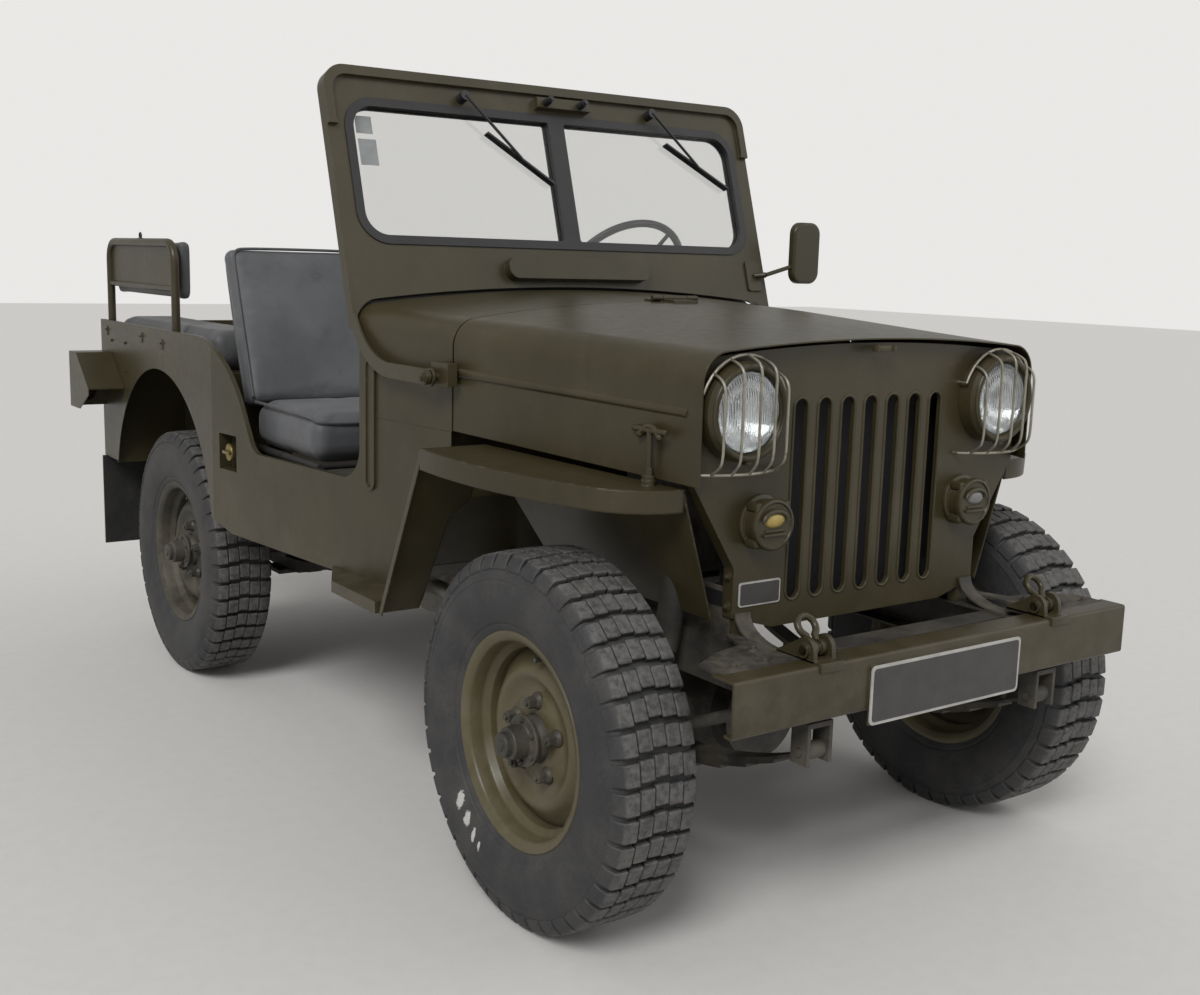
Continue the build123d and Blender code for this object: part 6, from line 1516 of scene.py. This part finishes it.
@dataclass
class Pad:
    """One stuffed pad: a rounded block, swelled by cloth simulation."""

    shop: Workshop
    name: str
    low: Point
    high: Point
    place: Matrix
    material: Material
    replaces: str
    corner: float = 0.030
    swell: float = 0.012
    shrink: float = 0.006
    voxel: float = 0.008
    quick_voxel: float = 0.012
    pressure: float = 4.0
    frames: int = 20
    fill: float = 0.6

    def start(self) -> BMesh:
        """The slightly smaller block that the pad starts from."""
        bm = bmesh.new()
        shrink = Vector((self.shrink,) * 3)
        add_block(bm, Vector(self.low) + shrink, Vector(self.high) - shrink)
        bmesh.ops.bevel(bm, geom=bm.edges[:], offset=self.corner, segments=4, profile=0.5,
                        affect="EDGES", material=-1)
        bmesh.ops.transform(bm, matrix=self.place, verts=bm.verts)
        return bm

    def build(self) -> Object:
        """Make the pad and swell it.

        Returns:
            The padded piece.
        """
        pad = self.shop.piece(self.name, self.start(), self.material, Slot.SEAT,
                              replaces=(self.replaces,), sharp=80.0)
        bpy.context.view_layer.objects.active = pad
        remesh = pad.modifiers.new("remesh", "REMESH")
        remesh.mode = "VOXEL"
        remesh.voxel_size = self.voxel
        remesh.use_smooth_shade = True
        apply_modifier(pad, remesh.name)
        self.inflate(pad)
        refine = pad.modifiers.new("refine", "SUBSURF")
        refine.levels = refine.render_levels = 1
        return pad

    def inflate(self, pad: Object) -> None:
        """Run the cloth simulation and keep its result within the swell."""
        rest = [vert.co.copy() for vert in pad.data.vertices]
        cloth = pad.modifiers.new("cloth", "CLOTH")
        cloth.settings.use_pressure = True
        cloth.settings.uniform_pressure_force = self.pressure
        cloth.settings.effector_weights.gravity = 0.0
        cloth.settings.tension_stiffness = 15.0
        scene = bpy.context.scene
        for number in range(1, self.frames + 1):
            scene.frame_set(number)
        graph = bpy.context.evaluated_depsgraph_get()
        result = pad.evaluated_get(graph).to_mesh()
        moved = [vert.co.copy() for vert in result.vertices]
        pad.evaluated_get(graph).to_mesh_clear()
        pad.modifiers.remove(cloth)
        scene.frame_set(1)
        for vert, old, new in zip(pad.data.vertices, rest, moved):
            step = new - old
            if step.length > self.swell:
                step = step.normalized() * self.swell
            vert.co = old + step


def across_pair(half: Sequence[Point], total_x: float) -> list[Point]:
    """A line and its mirror image, joined; total_x is the two ends' X added up."""
    return [*half, *((total_x - x, y, z) for x, y, z in reversed(half))]


def apply_modifier(piece: Object, name: str) -> None:
    """Apply one modifier to a piece's mesh."""
    with bpy.context.temp_override(object=piece, active_object=piece, selected_objects=[piece]):
        bpy.ops.object.modifier_apply(modifier=name)


@dataclass
class Seats:
    """Front seats and rear benches."""

    shop: Workshop
    inner_x: float = 0.200
    outer_x: float = 0.662
    front_y: float = -0.102
    rear_y: float = 0.343
    low_z: float = 0.790
    top_z: float = 0.912
    back_foot: Point = (0.0, 0.337, 0.894)
    back_head: Point = (0.0, 0.505, 1.345)
    back_thick: float = 0.067
    bench_low: Point = (0.470, 0.522, 0.979)
    bench_high: Point = (0.690, 1.472, 1.090)
    bench_pad_low: Point = (0.644, 0.812, 1.166)
    bench_pad_high: Point = (0.6915, 1.477, 1.352)
    seam_in: float = 0.020
    seam_r: float = 0.0042

    @property
    def back_tall(self) -> float:
        """The leaning back's length."""
        return (Vector(self.back_head) - Vector(self.back_foot)).length

    @property
    def back_place(self) -> Matrix:
        """The leaning back's place, from a flat block standing on its foot."""
        run = Vector(self.back_head) - Vector(self.back_foot)
        lean = math.atan2(run.y, run.z)
        return Matrix.Translation(Vector(self.back_foot)) @ Matrix.Rotation(-lean, 4, "X")

    def pads(self, side: Side) -> list[Pad]:
        """One side's cushion, back, bench cushion and bench pad.

        Args:
            side: The car's side.

        Returns:
            The pads, not yet built.
        """
        vinyl, bench = self.shop.finishes.vinyl, self.shop.finishes.bench
        name, flat = side.name.lower(), Matrix.Identity(4)
        cushion = side.box((self.inner_x, self.front_y, self.low_z),
                           (self.outer_x, self.rear_y, self.top_z))
        back = side.box((self.inner_x, 0.0, 0.0), (self.outer_x, self.back_thick, self.back_tall))
        return [
            Pad(self.shop, f"seat_cushion_{name}", *cushion, flat, vinyl, "seat_cushions", 0.036),
            Pad(self.shop, f"seat_back_{name}", *back, self.back_place, vinyl, "seat_backs",
                0.020, 0.007),
            Pad(self.shop, f"bench_cushion_{name}", *side.box(self.bench_low, self.bench_high),
                flat, bench, "bench_cushions", 0.026, 0.010),
            Pad(self.shop, f"bench_pad_{name}",
                *side.box(self.bench_pad_low, self.bench_pad_high), flat, bench,
                "bench_back_pads", 0.014, 0.004),
        ]

    def seams(self) -> None:
        """Piping round the cushions' tops and both faces of the backs."""
        bm, tall, place = bmesh.new(), self.back_tall, self.back_place
        for side in Side:
            low_x, high_x = sorted((side.value * self.inner_x, side.value * self.outer_x))
            in_x, out_x = low_x + self.seam_in, high_x - self.seam_in
            near, far, top = self.front_y + 0.026, self.rear_y - 0.010, self.top_z - 0.004
            half = ((in_x, far, top), (in_x, near + 0.03, top), (in_x, near, top - 0.010),
                    (in_x + 0.03, near - 0.010, top - 0.018))
            add_tube(bm, across_pair(half, in_x + out_x), self.seam_r, smooth=True)
            for face in (0.004, self.back_thick - 0.004):
                half = ((in_x, face, 0.03), (in_x, face, tall - 0.05),
                        (in_x + 0.01, face, tall - 0.02), (in_x + 0.04, face, tall - 0.014))
                ring = [place @ Vector(point) for point in across_pair(half, in_x + out_x)]
                add_tube(bm, ring, self.seam_r, smooth=True)
        self.shop.piece("seat_piping", bm, self.shop.finishes.piping, Slot.SEAT, outward=False)

    def build(self) -> None:
        """Make the cushions, backs and their piping."""
        for side in Side:
            for pad in self.pads(side):
                pad.build()
        self.seams()


# The CAD nodes keep their shapes and get their finishes here


NODE_FINISHES = {
    "paint": ("fuel_tank", "hood", "cowl", "firewall", "dashboard",
              "tub_side_right", "tub_side_left", "wheelhouses", "tub_floor", "rear_panel",
              "tailgate", "grille_panel", "headlamps", "steps",
              "windscreen_frame", "mirror", "rear_lamp_boxes"),
    # seat_frames take the dark chassis finish as painted shade under the seats; the frames themselves
    # are olive
    "chassis": ("front_axle", "rear_axle", "leaf_springs", "chassis_frame", "knuckle_front_right",
                "knuckle_front_left", "tie_rod", "steering_column", "controls", "seat_frames"),
    "core": ("radiator",),
    "cast": ("engine_block", "gearbox_and_shafts"),
    "steel": ("exhaust", "towing_hook"),
    "wing": ("front_wings",),
    "rubber": ("windscreen_gasket",),
    "flap": ("mudflaps",),
    "black": ("wipers", "steering_wheel"),
    "window": ("windscreen_glass",),
    "lens": ("headlamp_lenses",),
    "mirror": ("mirror_glass",),
}


def dress_nodes(finishes: Finishes) -> None:
    """Give every CAD node its finish."""
    for finish, names in NODE_FINISHES.items():
        for name in names:
            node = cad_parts[name]
            node.data.materials.clear()
            node.data.materials.append(getattr(finishes, finish))
            LOG.info("%s is dressed in %s", name, finish)


# Stage


@dataclass
class Studio:
    """Pale floor, soft light and the camera at the photograph's angle."""

    camera_at: Point = (-2.0701, -3.3492, 1.3250)
    yaw: float = 35.427
    pitch: float = -9.802
    roll: float = 1.600
    lens: float = 41.196
    world_light: float = 0.50
    background: float = 0.82
    suns: tuple[tuple[str, Point, float, float], ...] = (
        # name, direction, strength, angle in degrees
        ("key", (-0.62, -0.50, 0.72), 2.0, 24.0), ("fill", (0.70, -0.62, 0.45), 0.6, 60.0))

    def camera(self) -> None:
        """Place the camera."""
        yaw, pitch, roll = (math.radians(value) for value in (self.yaw, self.pitch, self.roll))
        ahead = Vector((math.sin(yaw) * math.cos(pitch), math.cos(yaw) * math.cos(pitch),
                        math.sin(pitch)))
        right = ahead.cross(Vector((0, 0, 1))).normalized()
        up = right.cross(ahead)
        right, up = (math.cos(roll) * right + math.sin(roll) * up,
                     math.cos(roll) * up - math.sin(roll) * right)
        data = bpy.data.cameras.new("camera")
        data.lens, data.sensor_width = self.lens, 36.0
        camera = bpy.data.objects.new("camera", data)
        bpy.context.scene.collection.objects.link(camera)
        turn = Matrix((right, up, -ahead)).transposed().to_4x4()
        camera.matrix_world = Matrix.Translation(Vector(self.camera_at)) @ turn
        bpy.context.scene.camera = camera

    def floor(self) -> None:
        """Lay the floor."""
        bm = bmesh.new()
        bmesh.ops.create_grid(bm, x_segments=1, y_segments=1, size=30.0)
        mesh = bpy.data.meshes.new("floor")
        bm.to_mesh(mesh)
        bm.free()
        floor = bpy.data.objects.new("floor", mesh)
        bpy.context.scene.collection.objects.link(floor)
        mesh.materials.append(PlainFinish("floor_paper", (0.60, 0.59, 0.575), 0.9, 0.0, 0.03).make())

    def light(self) -> None:
        """Light the stage softly."""
        world = bpy.data.worlds.new("studio")
        bpy.context.scene.world = world
        world.use_nodes = True
        tree = world.node_tree
        tree.nodes.clear()
        output = tree.nodes.new("ShaderNodeOutputWorld")
        shade = tree.nodes.new("ShaderNodeBackground")
        path = tree.nodes.new("ShaderNodeLightPath")
        seen = tree.nodes.new("ShaderNodeMath")
        seen.operation = "MAXIMUM"
        tree.links.new(path.outputs["Is Camera Ray"], seen.inputs[0])
        tree.links.new(path.outputs["Is Transmission Ray"], seen.inputs[1])
        level = tree.nodes.new("ShaderNodeMapRange")
        tree.links.new(seen.outputs[0], level.inputs["Value"])
        level.inputs["To Min"].default_value = self.world_light
        level.inputs["To Max"].default_value = self.background
        shade.inputs["Color"].default_value = (1.0, 0.99, 0.97, 1.0)
        tree.links.new(level.outputs["Result"], shade.inputs["Strength"])
        tree.links.new(shade.outputs["Background"], output.inputs["Surface"])
        for name, direction, strength, angle in self.suns:
            data = bpy.data.lights.new(name, "SUN")
            data.energy, data.angle = strength, math.radians(angle)
            lamp = bpy.data.objects.new(name, data)
            lamp.rotation_euler = Vector(direction).to_track_quat("Z", "Y").to_euler()
            bpy.context.scene.collection.objects.link(lamp)

    def build(self) -> None:
        """Set the stage."""
        self.camera()
        self.floor()
        self.light()
        bpy.context.scene.view_settings.view_transform = "Standard"


def main() -> None:
    """Dress the car and set the stage."""
    logging.basicConfig(level=logging.INFO, format="%(name)s: %(message)s")
    Studio().build()
    finishes = Finishes()
    shop = Workshop(finishes)
    dress_nodes(finishes)
    for place in WHEEL_PLACES:
        Tyre(shop, place).build()
        Wheel(shop, place).build()
    FrontEnd(shop).build()
    Bumper(shop).build()
    LampGuards(shop).build()
    BodyTrim(shop).build()
    Seats(shop).build()


if __name__ == "__main__":
    main()
